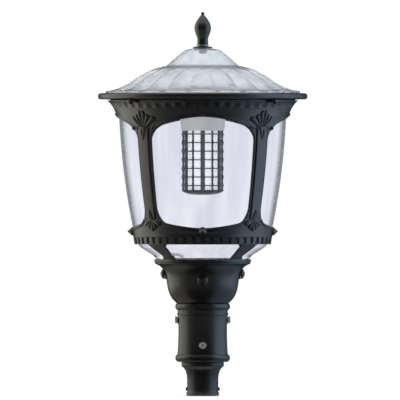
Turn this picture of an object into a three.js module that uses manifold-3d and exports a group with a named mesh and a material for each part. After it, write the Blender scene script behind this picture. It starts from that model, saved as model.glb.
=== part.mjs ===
// Post top lantern: a round street lantern with a clear domed roof and a hanging LED column.
// It stands on the top of a round pole. Millimetres, +Z up.
// The origin is the centre of the pole adapter's lower rim.
// Azimuths are in degrees, from the front (-Y) towards +X, so +X is at 90 and the rear at 180.

import * as THREE from 'three';
import { mergeVertices } from 'three/addons/utils/BufferGeometryUtils.js';
import Module from 'manifold-3d';

const wasm = await Module();
wasm.setup();

// Clearances and the one overrun that all cuts share
const gap = 0.3;
const overrun = 4;

// Pole adapter: a sleeve over the pole's end, a stop collar, and a spigot inside the neck
const poleDiameter = 60;
const socketClearance = 0.75;
const sleeveWall = 6.65;
const sleeveHeight = 70.8;
const flareHeight = 30;
const footRingStep = 1.8;
const footRingHeight = 8.4;
const collarHeight = 10.8;
const collarStep = 3.7;
const spigotRadius = 47.2;
const spigotWall = 8.2;
const spigotHeight = 118;
const socketDepth = 74;
const shelfThickness = 8;
const cableHoleRadius = 22;
const grubHeight = 16.8;

// Fitter: a clamping neck under a bell, with a flared lip
const neckRadius = 58.1;
const neckHeight = 141.3;
const bellRadius = 91.2;
const bellHeight = 86.4;
const bellWall = 5.6;
const lipReach = 23.8;
const lipHeight = 12.1;
const lowerClampHeight = 39.8;
const upperClampHeight = 101;
const sideBoltDrop = 28;
const frontBoltDrop = 44;

// Lower frame: base plate, skirt inside the bell, four struts and the lower ring
const skirtWall = 6.4;
const skirtDepth = 55;
const basePlateThickness = 5.9;
const coneHeight = 36.2;
const strutDepth = 4.4;
const lowerRingHeight = 33.6;
const lowerRingTaper = 5;
const lowerCrownLap = 4.8;
const lowerArchRise = 22.5;

// Lower lens: the clear cone between the base plate and the lower ring
const lensFootRadius = 111.6;
const lensInset = 12.7;
const lensWall = 3;
const lensLap = 8;

// Window panes and the posts between them
const globeBaseRadius = 166.3;
const globeTopRadius = 200.8;
const paneWall = 3;
const postHeight = 215;
const frameProud = 2.7;
const stripProud = 2.2;
const webDepth = 12;

// Upper ring: arches, band, inner ledge and cornice
const upperArchRise = 28.4;
const paneLap = 11.6;
const ledgeThickness = 6;
const ledgeWidth = 12;
const wellWall = 3.3;
const bandHeight = 3.7;
const bandFlare = 7.4;
const corniceProjection = 17;
const corniceHeight = 25.5;
const fanWidth = 58;
const fanHeight = 41;
const fanProud = 3;
const leafRadius = 6;
const budRadius = 4.4;

// Roof: seal, plate with its raised rim, clear dome, finial
const sealThickness = 2.2;
const roofOverhang = 23.243;
const rimWidth = 14.3;
const rimHeight = 14.2;
const roofPlateThickness = 4.7;
const gasketThickness = 2;
const domeClearance = 4;
const domeFootWidth = 19;
const domeFootHeight = 12.4;
const domeFootLip = 2.6;
const domeSkirtHeight = 57.6;
const domeStepWidth = 11.5;
const domeStepHeight = 2.4;
const crownRadius = 86.9;
const crownHeight = 42;
const domeWall = 4;
const petalDepth = 6.5;
const finialRadius = 19.9;
const finialHeight = 78.4;
const flangeRadius = 24;
const flangeHeight = 4.3;
const neckRingRadius = 14.4;
const neckRingHeight = 4;
const studRadius = 5;
const nutRadius = 9.2;
const nutHeight = 8;

// Roof hinge at the rear, and its two captive screws at the front
const hingeInset = 12.3;
const hingeDrop = 10.5;
const hingeEyeRadius = 7.5;
const hingeHeel = 11.5;
const hingePinRadius = 4;
const hingeEarThickness = 8;
const hingeEyeWidth = 26;
const roofScrewInset = 7.3;
const roofScrewDepth = 8;
const roofScrewClearance = 0.6;
const lugWidth = 20;
const lugThickness = 6;
const lugMargin = 4;

// Tray, LED column, driver and lead
const trayThickness = 3;
const trayRimWall = 3;
const trayRimDrop = 15;
const columnRadius = 51.6;
const columnWaist = 2.2;
const columnPitch = 20.6;
const coreRadius = 36;
const coreWall = 5;
const capRadius = 55.4;
const capHeight = 57.5;
const capFlange = 8.6;
const capFlangeHeight = 6.3;
const columnNeckWall = 4;
const columnNutWall = 7;
const columnNutHeight = 8;
const endCapHeight = 22.4;
const endCapRecess = 4;
const gearPlateRadius = 86;
const gearPlateThickness = 3;
const driverLength = 76;
const driverWidth = 46;
const driverHeight = 62;
const driverCorner = 5;
const terminalLength = 22;
const terminalWidth = 40;
const terminalHeight = 20;
const bayGap = 8;
const leadRadius = 4;
const leadHoleStep = 1.5;
const leadHoleRadius = 7.5;

// Fasteners, each by its shank radius and how far it reaches into what it holds
const grubRadius = 4;
const clampBoltRadius = 5;
const frameBoltRadius = 5;
const frameBoltHead = 12.5;
const frameBoltHeadHeight = 10.5;
const postScrewRadius = 2.5;
const trayScrewRadius = 2.5;
const plateScrewRadius = 2.5;
const roofScrewRadius = 3;
const columnBoltRadius = 4;
const screwBite = 5;
const spotFaceDepth = 1.5;

// Counts and angles in degrees
const windowCount = 4;
const windowPitch = 360 / windowCount;
const postAzimuths = [45, 135, 225, 315];
const windowHalfAngle = 38.4;
const paneHalfAngle = 40.8;
const webHalfAngle = 3.8;
const stripHalfAngle = 4.4;
const postHalfAngle = windowPitch / 2 - windowHalfAngle;
const strutHalfAngles = [6.9, 9.4];
const roundSteps = 24;
const roofSteps = 48;
const boltSteps = 12;
const screwSteps = 8;
const petalCount = 20;
const petalSteps = 2;
const postRows = 3;
const paneRows = 3;
const leadSteps = 36;
const cornerSteps = 2;
const columnSides = 12;
const columnRows = 6;
const leadTurn = 3.6;
const angleSlack = 0.01;

// Outlines, as [radius share, height share], from the bottom up unless said
const flareShares = [[0, 0], [0.16, 0.5], [0.29, 0.67], [0.5, 0.83], [0.79, 0.97]];
const neckShares = [
  [1.08, 0], [1.13, 0.055], [1.05, 0.13], [1, 0.42], [1.01, 0.72], [1.045, 0.8], [1.02, 0.86],
  [1.13, 0.92], [1.08, 1],
];
const bellShares = [[0.75, 0.05], [0.84, 0.17], [0.9, 0.34], [0.95, 0.66], [1, 1]];
const lipShares = [[0.38, 0], [0.86, 0.6], [1, 0.8], [1, 1]];
const ringTaperShares = [[0, 0], [0.5, 0.09], [1, 1]];
const lensShares = [[0, 0], [0.13, 0.22], [0.46, 0.48], [0.88, 0.8], [1, 0.95]];
const corniceShares = [[0, 0], [0.13, 0.19], [0.73, 0.75], [0.95, 0.94], [1, 1]];
const skirtShares = [[1, 0], [0.87, 0.04], [0.78, 0.125], [0.62, 0.29], [0.4, 0.62], [0.26, 0.79], [0, 1]];
const petalFadeShares = [0, 0.5, 0.9, 1, 0.9, 0.6, 0];
const crownShares = [[1, 0], [0.75, 0.46], [0.47, 0.9], [0.33, 1]];
const finialShares = [
  [0.66, 0], [0.66, 0.2], [0.93, 0.38], [1, 0.49], [0.8, 0.69], [0.5, 0.81], [0.22, 0.88],
  [0.2, 0.95], [0, 1],
];
const socketHeadShares = [[1, 0], [1, 0.85], [0.85, 1], [0.5, 1], [0.5, 0.45], [0, 0.45]];
const domeHeadShares = [[1, 0], [1, 0.2], [0.8, 0.7], [0, 1]];
const panHeadShares = [[1, 0], [1, 0.6], [0.7, 1], [0, 1]];
const socketHeadShare = 1.6;
const socketHeadHeightShare = 1.25;
const panHeadShare = 1.8;
const panHeadHeightShare = 1.3;
const lobeShares = [0.66, 0.9, 1, 0.9, 0.66];
const archPowerShare = 1.45;
const globeBulgeShare = 0.67;
const bandFlareShare = 0.35;
const archBowShare = 0.85;
const shoulderShare = 0.75;
const rimEdgeShare = 0.25;

// Heights, from the pole upwards
const collarTop = sleeveHeight + collarHeight;
const spigotTop = collarTop + spigotHeight;
const neckBase = collarTop + gap;
const neckTop = neckBase + neckHeight;
const bellTop = neckTop + bellHeight;
const lipTop = bellTop + lipHeight;
const skirtFoot = lipTop - skirtDepth;
const plateBase = lipTop + gap;
const plateTop = plateBase + basePlateThickness;
const lowerRingBase = plateTop + coneHeight;
const lowerLedge = lowerRingBase + lowerRingHeight;
const paneBase = lowerLedge + gap;
const lowerCrown = lowerLedge + lowerCrownLap;
const lowerSpring = lowerCrown + lowerArchRise;
const upperSpring = lowerSpring + postHeight;
const upperCrown = upperSpring + upperArchRise;
const paneTop = upperCrown + paneLap;
const ledgeBase = paneTop + gap;
const ledgeTop = ledgeBase + ledgeThickness;
const trayBase = ledgeTop + gap;
const trayTop = trayBase + trayThickness;
const bandTop = ledgeBase + bandHeight;
const corniceTop = bandTop + corniceHeight;
const roofBase = corniceTop + sealThickness + 2 * gap;
const roofFloor = roofBase + roofPlateThickness;
const gasketBase = roofFloor + gap;
const domeBase = gasketBase + gasketThickness + gap;
const skirtBase = domeBase + domeFootHeight;
const skirtTop = skirtBase + domeSkirtHeight;
const crownBase = skirtTop + domeStepHeight;
const domeTop = crownBase + crownHeight;
const flangeBase = domeTop + gap;
const neckRingBase = flangeBase + flangeHeight + gap;
const finialBase = neckRingBase + neckRingHeight + gap;

// Radii that follow from the sizes above
const socketRadius = poleDiameter / 2 + socketClearance;
const sleeveRadius = socketRadius + sleeveWall;
const collarRadius = spigotRadius + collarStep;
const spigotBore = spigotRadius - spigotWall;
const neckBore = spigotRadius + gap;
const bellBore = bellRadius * bellShares[3][0] - bellWall;
const skirtRadius = bellBore - gap;
const skirtBore = skirtRadius - skirtWall;
const lipRadius = bellRadius + lipReach;
const lensRadius = globeBaseRadius - lensInset;
const lensBore = lensRadius + gap;
const wellRadius = globeTopRadius + wellWall;
const ledgeBore = globeTopRadius - ledgeWidth;
const bandRadius = frameRadius(bandTop) + bandFlare;
const corniceRadius = bandRadius + corniceProjection;
const roofRadius = corniceRadius + roofOverhang;
const domeFootRadius = roofRadius - rimWidth - domeClearance;
const domeSkirtRadius = domeFootRadius - domeFootLip;
const skirtTopRadius = crownRadius + domeStepWidth;
const hingeRadius = roofRadius - hingeInset;
const hingeHeight = roofBase - hingeDrop;
const leadAzimuth = postAzimuths[2] + leadTurn;

// Places of the fasteners, and the azimuths that they share with their holes
const crossAzimuths = [0, 90, 180, 270];
const grubAzimuths = [0, 90, 270];
const pairAzimuths = [90, 270];
const roofScrewAzimuths = [45, 315];
const clampHeights = [lowerClampHeight, upperClampHeight, lowerClampHeight, upperClampHeight];
const frameBoltHeights = [frontBoltDrop, sideBoltDrop, frontBoltDrop, sideBoltDrop].map((d) => lipTop - d);
const frameStations = allRound(windowHalfAngle, paneHalfAngle);
const postScrewSkin = frameProud / 2;
const upperScrewHeight = (upperSpring + ledgeBase) / 2;
const postScrewSeat = frameRadius(upperScrewHeight) - webDepth + spotFaceDepth;
const plateScrewAt = gearPlateRadius - 2 * plateScrewRadius;
const trayScrewAt = ledgeBore + ledgeWidth / 2;
const roofScrewAt = roofRadius - roofScrewInset;
const capBore = coreRadius / 2;
const columnNeckRadius = capBore + columnNeckWall;
const capBase = trayBase - capHeight;
const capFloor = capHeight / 4;
const leadFootAt = skirtBore - leadHoleRadius - leadHoleStep;
const leadTopAt = ledgeBore - trayRimWall - 2 * leadRadius;
const gearPlateBase = plateTop + gap;
const gearPlateTop = gearPlateBase + gearPlateThickness;
const endCapBase = capBase - gap - columnPitch * columnRows - gap - endCapHeight;
const driverAt = (driverLength + terminalLength + bayGap) / 2 - terminalLength - bayGap;
const terminalAt = driverAt - driverLength / 2 - bayGap - terminalLength / 2;

// Finishes
const blackPaint = { color: 0x1d1e20, roughness: 0.32, metalness: 0.35 };
const blackAdapter = { color: 0x232426, roughness: 0.4, metalness: 0.35 };
const stainless = { color: 0x9a9c9e, roughness: 0.3, metalness: 1 };
const blackSteel = { color: 0x2a2a2b, roughness: 0.4, metalness: 0.8 };
const clearPlastic = { color: 0xe8eaee, roughness: 0.08, metalness: 0, transparent: true, opacity: 0.35 };
const whitePaint = { color: 0xe6e6e2, roughness: 0.45, metalness: 0.1 };
const greyCasting = { color: 0xa9a8a6, roughness: 0.45, metalness: 0.7 };
const mirrorPlastic = { color: 0xd4d5d8, roughness: 0.15, metalness: 0.9 };
const rubber = { color: 0x1a1a1a, roughness: 0.85, metalness: 0 };
const greyCase = { color: 0x55585b, roughness: 0.5, metalness: 0.3 };
const paleNylon = { color: 0xd8d6cc, roughness: 0.55, metalness: 0 };

// The pane's outer radius at a height: a slightly barrelled cone
function globeRadius(height) {
  const along = (height - paneBase) / (paneTop - paneBase);
  const bulged = along + globeBulgeShare * along * (1 - along);
  return globeBaseRadius + (globeTopRadius - globeBaseRadius) * bulged;
}

// The outer radius of the posts and rings, which stand proud of the panes
function frameRadius(height) {
  return globeRadius(height) + frameProud;
}

function radians(degrees) {
  return THREE.MathUtils.degToRad(degrees);
}

// A point at a radius, an azimuth and a height
function around(radius, azimuth, height) {
  const angle = radians(azimuth);
  return new THREE.Vector3(radius * Math.sin(angle), -radius * Math.cos(angle), height);
}

// An outline given as shares, carried to a base radius and height with a span of each
function outlined(shares, baseRadius, radiusSpan, baseHeight, heightSpan) {
  return shares.map(([r, z]) => [baseRadius + r * radiusSpan, baseHeight + z * heightSpan]);
}

function signedArea(points) {
  return points.reduce((sum, point, i) => sum + point.cross(points[(i + 1) % points.length]), 0);
}

// A closed solid from triangles: shared corners merged, collapsed triangles dropped, faces turned out
function solidOf(geometry) {
  const plain = geometry.clone();
  for (const name of Object.keys(plain.attributes)) {
    if (name !== 'position') plain.deleteAttribute(name);
  }
  const merged = mergeVertices(plain);
  const corners = merged.attributes.position.array;
  const index = merged.index.array;
  const kept = [];
  let volume = 0;
  for (let i = 0; i < index.length; i += 3) {
    const [a, b, c] = index.slice(i, i + 3);
    if (a === b || b === c || a === c) continue;
    kept.push(a, b, c);
    const [va, vb, vc] = [a, b, c].map((k) => new THREE.Vector3().fromArray(corners, 3 * k));
    volume += va.dot(vb.cross(vc));
  }
  if (volume < 0) kept.reverse();
  return new wasm.Manifold(new wasm.Mesh({
    numProp: 3,
    vertProperties: new Float32Array(corners),
    triVerts: new Uint32Array(kept),
  }));
}

function geometryOf(solid) {
  const { vertProperties, triVerts } = solid.getMesh();
  const geometry = new THREE.BufferGeometry();
  geometry.setAttribute('position', new THREE.BufferAttribute(vertProperties, 3));
  geometry.setIndex(new THREE.BufferAttribute(triVerts, 1));
  const faceted = geometry.toNonIndexed();
  faceted.computeVertexNormals();
  return faceted;
}

// A shape turned round the Z axis from [radius, height] points. It closes on itself or on the axis.
function turned(points, steps = roundSteps) {
  const outline = points.map(([r, z]) => new THREE.Vector2(r, z));
  if (points[0][0] > 0) outline.push(outline[0].clone());
  return new THREE.LatheGeometry(outline, steps).rotateX(Math.PI / 2);
}

// A skin over a row of closed rings of points. Its ends are capped unless it closes on itself.
function lofted(rings, flatten) {
  const size = rings[0].length;
  const positions = rings.flat().flatMap((point) => point.toArray());
  const triangles = [];
  const spans = flatten ? rings.length - 1 : rings.length;
  for (let i = 0; i < spans; i += 1) {
    const here = i * size;
    const next = ((i + 1) % rings.length) * size;
    for (let j = 0; j < size; j += 1) {
      const k = (j + 1) % size;
      triangles.push(here + j, next + j, next + k, here + j, next + k, here + k);
    }
  }
  if (flatten) {
    [0, rings.length - 1].forEach((at, end) => {
      const flat = rings[at].map(flatten);
      const forward = signedArea(flat) > 0;
      for (const [a, b, c] of THREE.ShapeUtils.triangulateShape(flat, [])) {
        const turn = signedArea([flat[a], flat[b], flat[c]]) > 0;
        const same = (turn === forward) !== (end === 1);
        const corners = same ? [a, b, c] : [a, c, b];
        triangles.push(...corners.map((corner) => at * size + corner));
      }
    });
  }
  const geometry = new THREE.BufferGeometry();
  geometry.setAttribute('position', new THREE.Float32BufferAttribute(positions, 3));
  geometry.setIndex(triangles);
  return geometry;
}

// A full ring whose section, a closed list of [radius, height] points, may change with the azimuth
function ringOf(azimuths, sectionAt) {
  return lofted(azimuths.map((azimuth) => sectionAt(azimuth).map(([r, z]) => around(r, azimuth, z))));
}

// A curved panel between the first and last azimuth, with such a section
function panelOf(azimuths, section) {
  const flatten = (point) => new THREE.Vector2(Math.hypot(point.x, point.y), point.z);
  return lofted(azimuths.map((azimuth) => section.map(([r, z]) => around(r, azimuth, z))), flatten);
}

function united(...geometries) {
  return geometries.map(solidOf).reduce((whole, next) => whole.add(next));
}

function cut(body, cutters) {
  return cutters.map(solidOf).reduce((rest, cutter) => rest.subtract(cutter), body);
}

// A copy of a shape that is built at the front, turned to each azimuth
function copiesAt(azimuths, geometry) {
  return azimuths.map((azimuth) => geometry.clone().rotateZ(radians(azimuth)));
}

// A rod from the axis outwards to the front, for radial holes
function frontRod(radius, from, to, height, steps = screwSteps) {
  return new THREE.CylinderGeometry(radius, radius, to - from, steps).translate(0, -(from + to) / 2, height);
}

// An upright rod at the front
function uprightRod(radius, at, from, to, steps = screwSteps) {
  const rod = new THREE.CylinderGeometry(radius, radius, to - from, steps).rotateX(Math.PI / 2);
  return rod.translate(0, -at, (from + to) / 2);
}

// A screw along Z: its head starts at zero and its shank reaches down
function screwOf(radius, length, headRadius, headHeight, headShares, steps = screwSteps) {
  const head = outlined(headShares, 0, headRadius, 0, headHeight);
  return turned([[0, -length], [radius, -length], [radius, 0], ...head], steps);
}

// The upright section of a pane
function paneSection() {
  const outer = Array.from({ length: paneRows + 1 }, (_, i) => {
    const height = paneBase + ((paneTop - paneBase) * i) / paneRows;
    return [globeRadius(height), height];
  });
  const inner = outer.map(([r, z]) => [r - paneWall, z]).reverse();
  return [...outer, ...inner];
}

// Azimuths across a window on the round pieces' steps, and out to the given angles on both sides
function acrossWindow(...sides) {
  const step = 360 / roundSteps;
  const half = [step, 2 * step, ...sides];
  return [...half.map((a) => -a).reverse(), 0, ...half];
}

// Such azimuths for all windows in turn, each with the post's middle after it
function allRound(...sides) {
  const starts = Array.from({ length: windowCount }, (_, i) => i * windowPitch);
  return starts.flatMap((start) => [...acrossWindow(...sides), windowPitch / 2].map((a) => start + a));
}

// How far an azimuth lies from the middle of its window, as a share of the window's half angle
function windowShare(azimuth) {
  const within = THREE.MathUtils.euclideanModulo(azimuth + windowPitch / 2, windowPitch) - windowPitch / 2;
  return Math.abs(within) / (windowHalfAngle - angleSlack);
}

// The arch edge of a ring: a shallow bow from the crown, then a rounded corner to the springing
function archEdge(azimuth, crown, rise) {
  const share = windowShare(azimuth);
  return crown + rise * (share < 1 ? archBowShare * share ** archPowerShare : 1);
}

function poleAdapter() {
  const flareBase = sleeveHeight - flareHeight;
  const footRadius = sleeveRadius + footRingStep;
  const body = solidOf(turned([
    [socketRadius, 0],
    [footRadius, 0],
    [footRadius, footRingHeight],
    [sleeveRadius, footRingHeight],
    ...outlined(flareShares, sleeveRadius, collarRadius - sleeveRadius, flareBase, flareHeight),
    [collarRadius, sleeveHeight],
    [collarRadius, collarTop],
    [spigotRadius, collarTop],
    [spigotRadius, spigotTop],
    [spigotBore, spigotTop],
    [spigotBore, socketDepth + shelfThickness],
    [cableHoleRadius, socketDepth + shelfThickness],
    [cableHoleRadius, socketDepth],
    [socketRadius, socketDepth],
  ]));
  const hole = frontRod(grubRadius + gap, 0, sleeveRadius + overrun, grubHeight);
  return cut(body, copiesAt(grubAzimuths, hole));
}

function neckOutline() {
  return outlined(neckShares, 0, neckRadius, neckBase, neckHeight);
}

function bellOutline() {
  return outlined(bellShares, 0, bellRadius, neckTop, bellHeight);
}

// The widest radius of an outline, taken over a stretch of its height
function widest(outline, from, to) {
  const radiusAt = (height) => {
    const next = outline.findIndex(([, z]) => z > height);
    if (next <= 0) return outline[next < 0 ? outline.length - 1 : 0][0];
    const [[r0, z0], [r1, z1]] = [outline[next - 1], outline[next]];
    return r0 + ((r1 - r0) * (height - z0)) / (z1 - z0);
  };
  const within = outline.filter(([, z]) => z > from && z < to).map(([r]) => r);
  return Math.max(radiusAt(from), radiusAt(to), ...within);
}

// Where the neck's clamp bolts and the bell's frame bolts seat
function clampSeat(index) {
  const height = neckBase + clampHeights[index];
  const half = clampBoltRadius * socketHeadShare;
  return widest(neckOutline(), height - half, height + half) + gap;
}

function frameBoltSeat(index) {
  const height = frameBoltHeights[index];
  return widest(bellOutline(), height - frameBoltHead, height + frameBoltHead) + gap;
}

function fitter() {
  const bell = bellOutline();
  const lip = outlined(lipShares, bellRadius, lipReach, bellTop, lipHeight);
  const cavity = bell.slice(1, 3).map(([r, z]) => [r - bellWall, z]).reverse();
  const shell = solidOf(turned([
    ...neckOutline(),
    ...bell,
    ...lip,
    [bellBore, lipTop],
    [bellBore, skirtFoot - gap],
    ...cavity,
    [neckBore, neckTop - bellWall],
    [neckBore, neckBase],
  ]));
  const bosses = crossAzimuths.map((azimuth, i) => {
    const face = frameBoltSeat(i) - gap;
    const boss = frontRod(frameBoltHead, bellBore + gap, face, frameBoltHeights[i], boltSteps);
    return solidOf(boss.rotateZ(radians(azimuth)));
  });
  const body = bosses.reduce((whole, boss) => whole.add(boss), shell);
  const reach = lipRadius + overrun;
  const hole = (radius, height) => frontRod(radius + gap, 0, reach, height, boltSteps);
  return cut(body, crossAzimuths.flatMap((azimuth, i) => [
    hole(clampBoltRadius, neckBase + clampHeights[i]).rotateZ(radians(azimuth)),
    hole(frameBoltRadius, frameBoltHeights[i]).rotateZ(radians(azimuth)),
  ]));
}

// The lower lens's outer outline, from its foot on the base plate to its rim inside the lower ring
function lensOutline() {
  const span = lowerRingBase - plateTop - gap;
  const cone = outlined(lensShares, lensFootRadius, lensRadius - lensFootRadius, plateTop + gap, span);
  return [...cone, [lensRadius, lowerRingBase + lensLap]];
}

function lowerLens() {
  const outer = lensOutline();
  const inner = outer.map(([r, z]) => [r - lensWall, z]).reverse();
  return solidOf(turned([...outer, ...inner]));
}

// One strut at the front: it follows the lens and widens upwards
function strut() {
  const [footAngle, headAngle] = strutHalfAngles;
  const route = lensOutline();
  const foot = [route[0][0], plateTop - gap];
  const rows = [foot, ...route.slice(0, -1), [lensRadius, lowerRingBase + gap]];
  const rings = rows.map(([r, z], i) => {
    const half = footAngle + ((headAngle - footAngle) * i) / (rows.length - 1);
    const angles = [-half, 0, half];
    const outer = angles.map((a) => around(r + gap + strutDepth, a, z));
    const inner = angles.map((a) => around(r + gap, a, z)).reverse();
    return [...outer, ...inner];
  });
  return lofted(rings, (point) => new THREE.Vector2(point.x, point.y));
}

function lowerRingSection(azimuth) {
  const edge = archEdge(azimuth, lowerCrown, lowerArchRise);
  const topRadius = frameRadius(lowerLedge);
  const outer = outlined(
    ringTaperShares, topRadius - lowerRingTaper, lowerRingTaper, lowerRingBase, lowerRingHeight,
  );
  return [
    ...outer,
    [frameRadius(edge), edge],
    [globeRadius(edge) + gap, edge],
    [globeRadius(lowerLedge) + gap, lowerLedge],
    [lensBore, lowerLedge],
    [lensBore, lowerRingBase],
  ];
}

function lowerFrame() {
  const base = turned([
    [skirtBore, skirtFoot],
    [skirtRadius, skirtFoot],
    [skirtRadius, plateBase],
    [lensFootRadius + gap + strutDepth, plateBase],
    [lensFootRadius + gap + strutDepth, plateTop],
    [skirtBore, plateTop],
  ]);
  const bud = new THREE.SphereGeometry(leafRadius, screwSteps, screwSteps / 2)
    .translate(0, -frameRadius(lowerLedge) - leafRadius / 2, lowerLedge - leafRadius / 2);
  const body = united(
    base,
    ringOf(frameStations, lowerRingSection),
    ...copiesAt(postAzimuths, strut()),
    ...copiesAt(crossAzimuths, bud),
  );
  const reach = lipRadius + overrun;
  const tapped = (height) => frontRod(frameBoltRadius + gap, 0, reach, height, boltSteps);
  const plateHole = uprightRod(
    plateScrewRadius + gap, plateScrewAt, plateTop - screwBite - gap, plateTop + overrun,
  );
  return cut(body, [
    ...crossAzimuths.flatMap((azimuth, i) => copiesAt([azimuth], tapped(frameBoltHeights[i]))),
    ...copiesAt(pairAzimuths, plateHole),
  ]);
}

// One post at the front: a flange over the panes' edges, with a web between them and a raised strip
function post() {
  const heights = (from, to) => Array.from(
    { length: postRows + 1 },
    (_, i) => from + ((to - from) * i) / postRows,
  );
  const skin = (from, to, inner, outer) => [
    ...heights(from, to).map((z) => [outer(z), z]),
    ...heights(from, to).reverse().map((z) => [inner(z), z]),
  ];
  const bottom = lowerSpring + gap;
  const top = upperSpring - gap;
  const paneEdge = windowPitch / 2 - paneHalfAngle;
  const flange = panelOf(
    [-postHalfAngle, -paneEdge, paneEdge, postHalfAngle],
    skin(bottom, top, (z) => globeRadius(z) + gap, frameRadius),
  );
  const strip = panelOf(
    [-stripHalfAngle, 0, stripHalfAngle],
    skin(bottom, top, (z) => globeRadius(z) + frameProud / 2, (z) => frameRadius(z) + stripProud),
  );
  const join = panelOf(
    [-webHalfAngle, webHalfAngle],
    skin(bottom, top, (z) => globeRadius(z) - paneWall, frameRadius),
  );
  const web = panelOf(
    [-webHalfAngle, 0, webHalfAngle],
    skin(paneBase, paneTop, (z) => frameRadius(z) - webDepth, globeRadius),
  );
  const hole = frontRod(
    postScrewRadius + gap, 0, frameRadius(upperScrewHeight) + overrun, upperScrewHeight,
  );
  const spotFace = frontRod(postScrewRadius * panHeadShare + gap, 0, postScrewSeat, upperScrewHeight);
  return cut(united(flange, web, join, strip), [hole, spotFace]);
}

function upperRingSection(azimuth) {
  const edge = archEdge(azimuth, upperCrown, -upperArchRise);
  const waist = edge + (bandTop - edge) * bandFlareShare;
  return [
    [frameRadius(edge), edge],
    [frameRadius(waist), waist],
    [bandRadius, bandTop],
    ...outlined(corniceShares, bandRadius, corniceProjection, bandTop, corniceHeight).slice(1),
    [wellRadius, corniceTop],
    [wellRadius, ledgeTop],
    [ledgeBore, ledgeTop],
    [ledgeBore, ledgeBase],
    [globeRadius(ledgeBase) + gap, ledgeBase],
    [globeRadius(edge) + gap, edge],
  ];
}

// One fan ornament at the front: a lobed half disc that leans with the band
function fan() {
  const outline = new THREE.Shape();
  outline.moveTo(-fanWidth / 2, 0);
  lobeShares.forEach((share, i) => {
    const angle = Math.PI - (Math.PI * (i + 0.5)) / lobeShares.length;
    outline.lineTo((fanWidth / 2) * share * Math.cos(angle), fanHeight * share * Math.sin(angle));
  });
  outline.lineTo(fanWidth / 2, 0);
  const depth = frameProud + fanProud + bandFlare;
  const lean = Math.atan2(bandRadius - frameRadius(upperSpring), bandTop - upperSpring);
  return new THREE.ExtrudeGeometry(outline, { depth, bevelEnabled: false })
    .rotateX(Math.PI / 2)
    .translate(0, depth, 0)
    .rotateX(lean)
    .translate(0, -frameRadius(upperSpring) - fanProud, upperSpring + gap);
}

// An ear or lug outline in the plane of the radius, round an eye at the hinge's axis
function hingeEar(reachIn, thickness, heel) {
  const shape = new THREE.Shape();
  shape.moveTo(0, hingeEyeRadius);
  shape.absarc(0, 0, hingeEyeRadius, Math.PI / 2, -Math.PI / 2, true);
  shape.lineTo(-reachIn, -hingeEyeRadius - heel);
  shape.lineTo(-reachIn, hingeEyeRadius);
  const options = { depth: thickness, bevelEnabled: false, curveSegments: screwSteps / 2 };
  return new THREE.ExtrudeGeometry(shape, options)
    .rotateX(Math.PI / 2)
    .rotateZ(Math.PI / 2)
    .translate(-thickness / 2, hingeRadius, hingeHeight);
}

function upperRing() {
  const bud = new THREE.SphereGeometry(budRadius, screwSteps, screwSteps / 2)
    .translate(0, -(frameRadius(bandTop) + bandFlare / 2), upperCrown + budRadius);
  const earShift = (hingeEyeWidth + hingeEarThickness) / 2 + gap;
  const earReach = hingeRadius - (wellRadius + corniceRadius) / 2;
  const ears = [-earShift, earShift].map(
    (shift) => hingeEar(earReach, hingeEarThickness, 0).translate(shift, 0, 0),
  );
  const lugReach = roofScrewAt + roofScrewRadius + lugMargin;
  const lugStart = (wellRadius + bandRadius) / 2;
  const lug = new THREE.BoxGeometry(lugWidth, lugReach - lugStart, lugThickness)
    .translate(0, -(lugReach + lugStart) / 2, corniceTop - lugThickness / 2);
  const ring = united(
    ringOf(frameStations, upperRingSection),
    ...copiesAt(crossAzimuths, bud),
    ...copiesAt(roofScrewAzimuths, lug),
    ...ears,
  );
  const inside = turned([
    [0, upperSpring - overrun],
    [globeRadius(upperSpring) + gap, upperSpring - overrun],
    [globeRadius(upperCrown) + gap, upperCrown],
    [globeRadius(ledgeBase) + gap, ledgeBase],
    [0, ledgeBase],
  ], 3 * roundSteps);
  const fans = cut(united(...copiesAt(postAzimuths, fan())), [inside]);
  const body = ring.add(fans);
  const pinHole = new THREE.CylinderGeometry(
    hingePinRadius + gap, hingePinRadius + gap, 2 * (earShift + hingeEarThickness), boltSteps,
  ).rotateZ(Math.PI / 2).translate(0, hingeRadius, hingeHeight);
  const trayHole = uprightRod(
    trayScrewRadius + gap, trayScrewAt, ledgeBase - overrun, ledgeTop + overrun,
  );
  const postHole = frontRod(
    postScrewRadius + gap, ledgeBore, frameRadius(upperScrewHeight) - postScrewSkin, upperScrewHeight,
  );
  const screwHole = uprightRod(
    roofScrewRadius + roofScrewClearance, roofScrewAt, bandTop, corniceTop + overrun,
  );
  return cut(body, [
    pinHole,
    ...copiesAt(pairAzimuths, trayHole),
    ...copiesAt(postAzimuths, postHole),
    ...copiesAt(roofScrewAzimuths, screwHole),
  ]);
}

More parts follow.
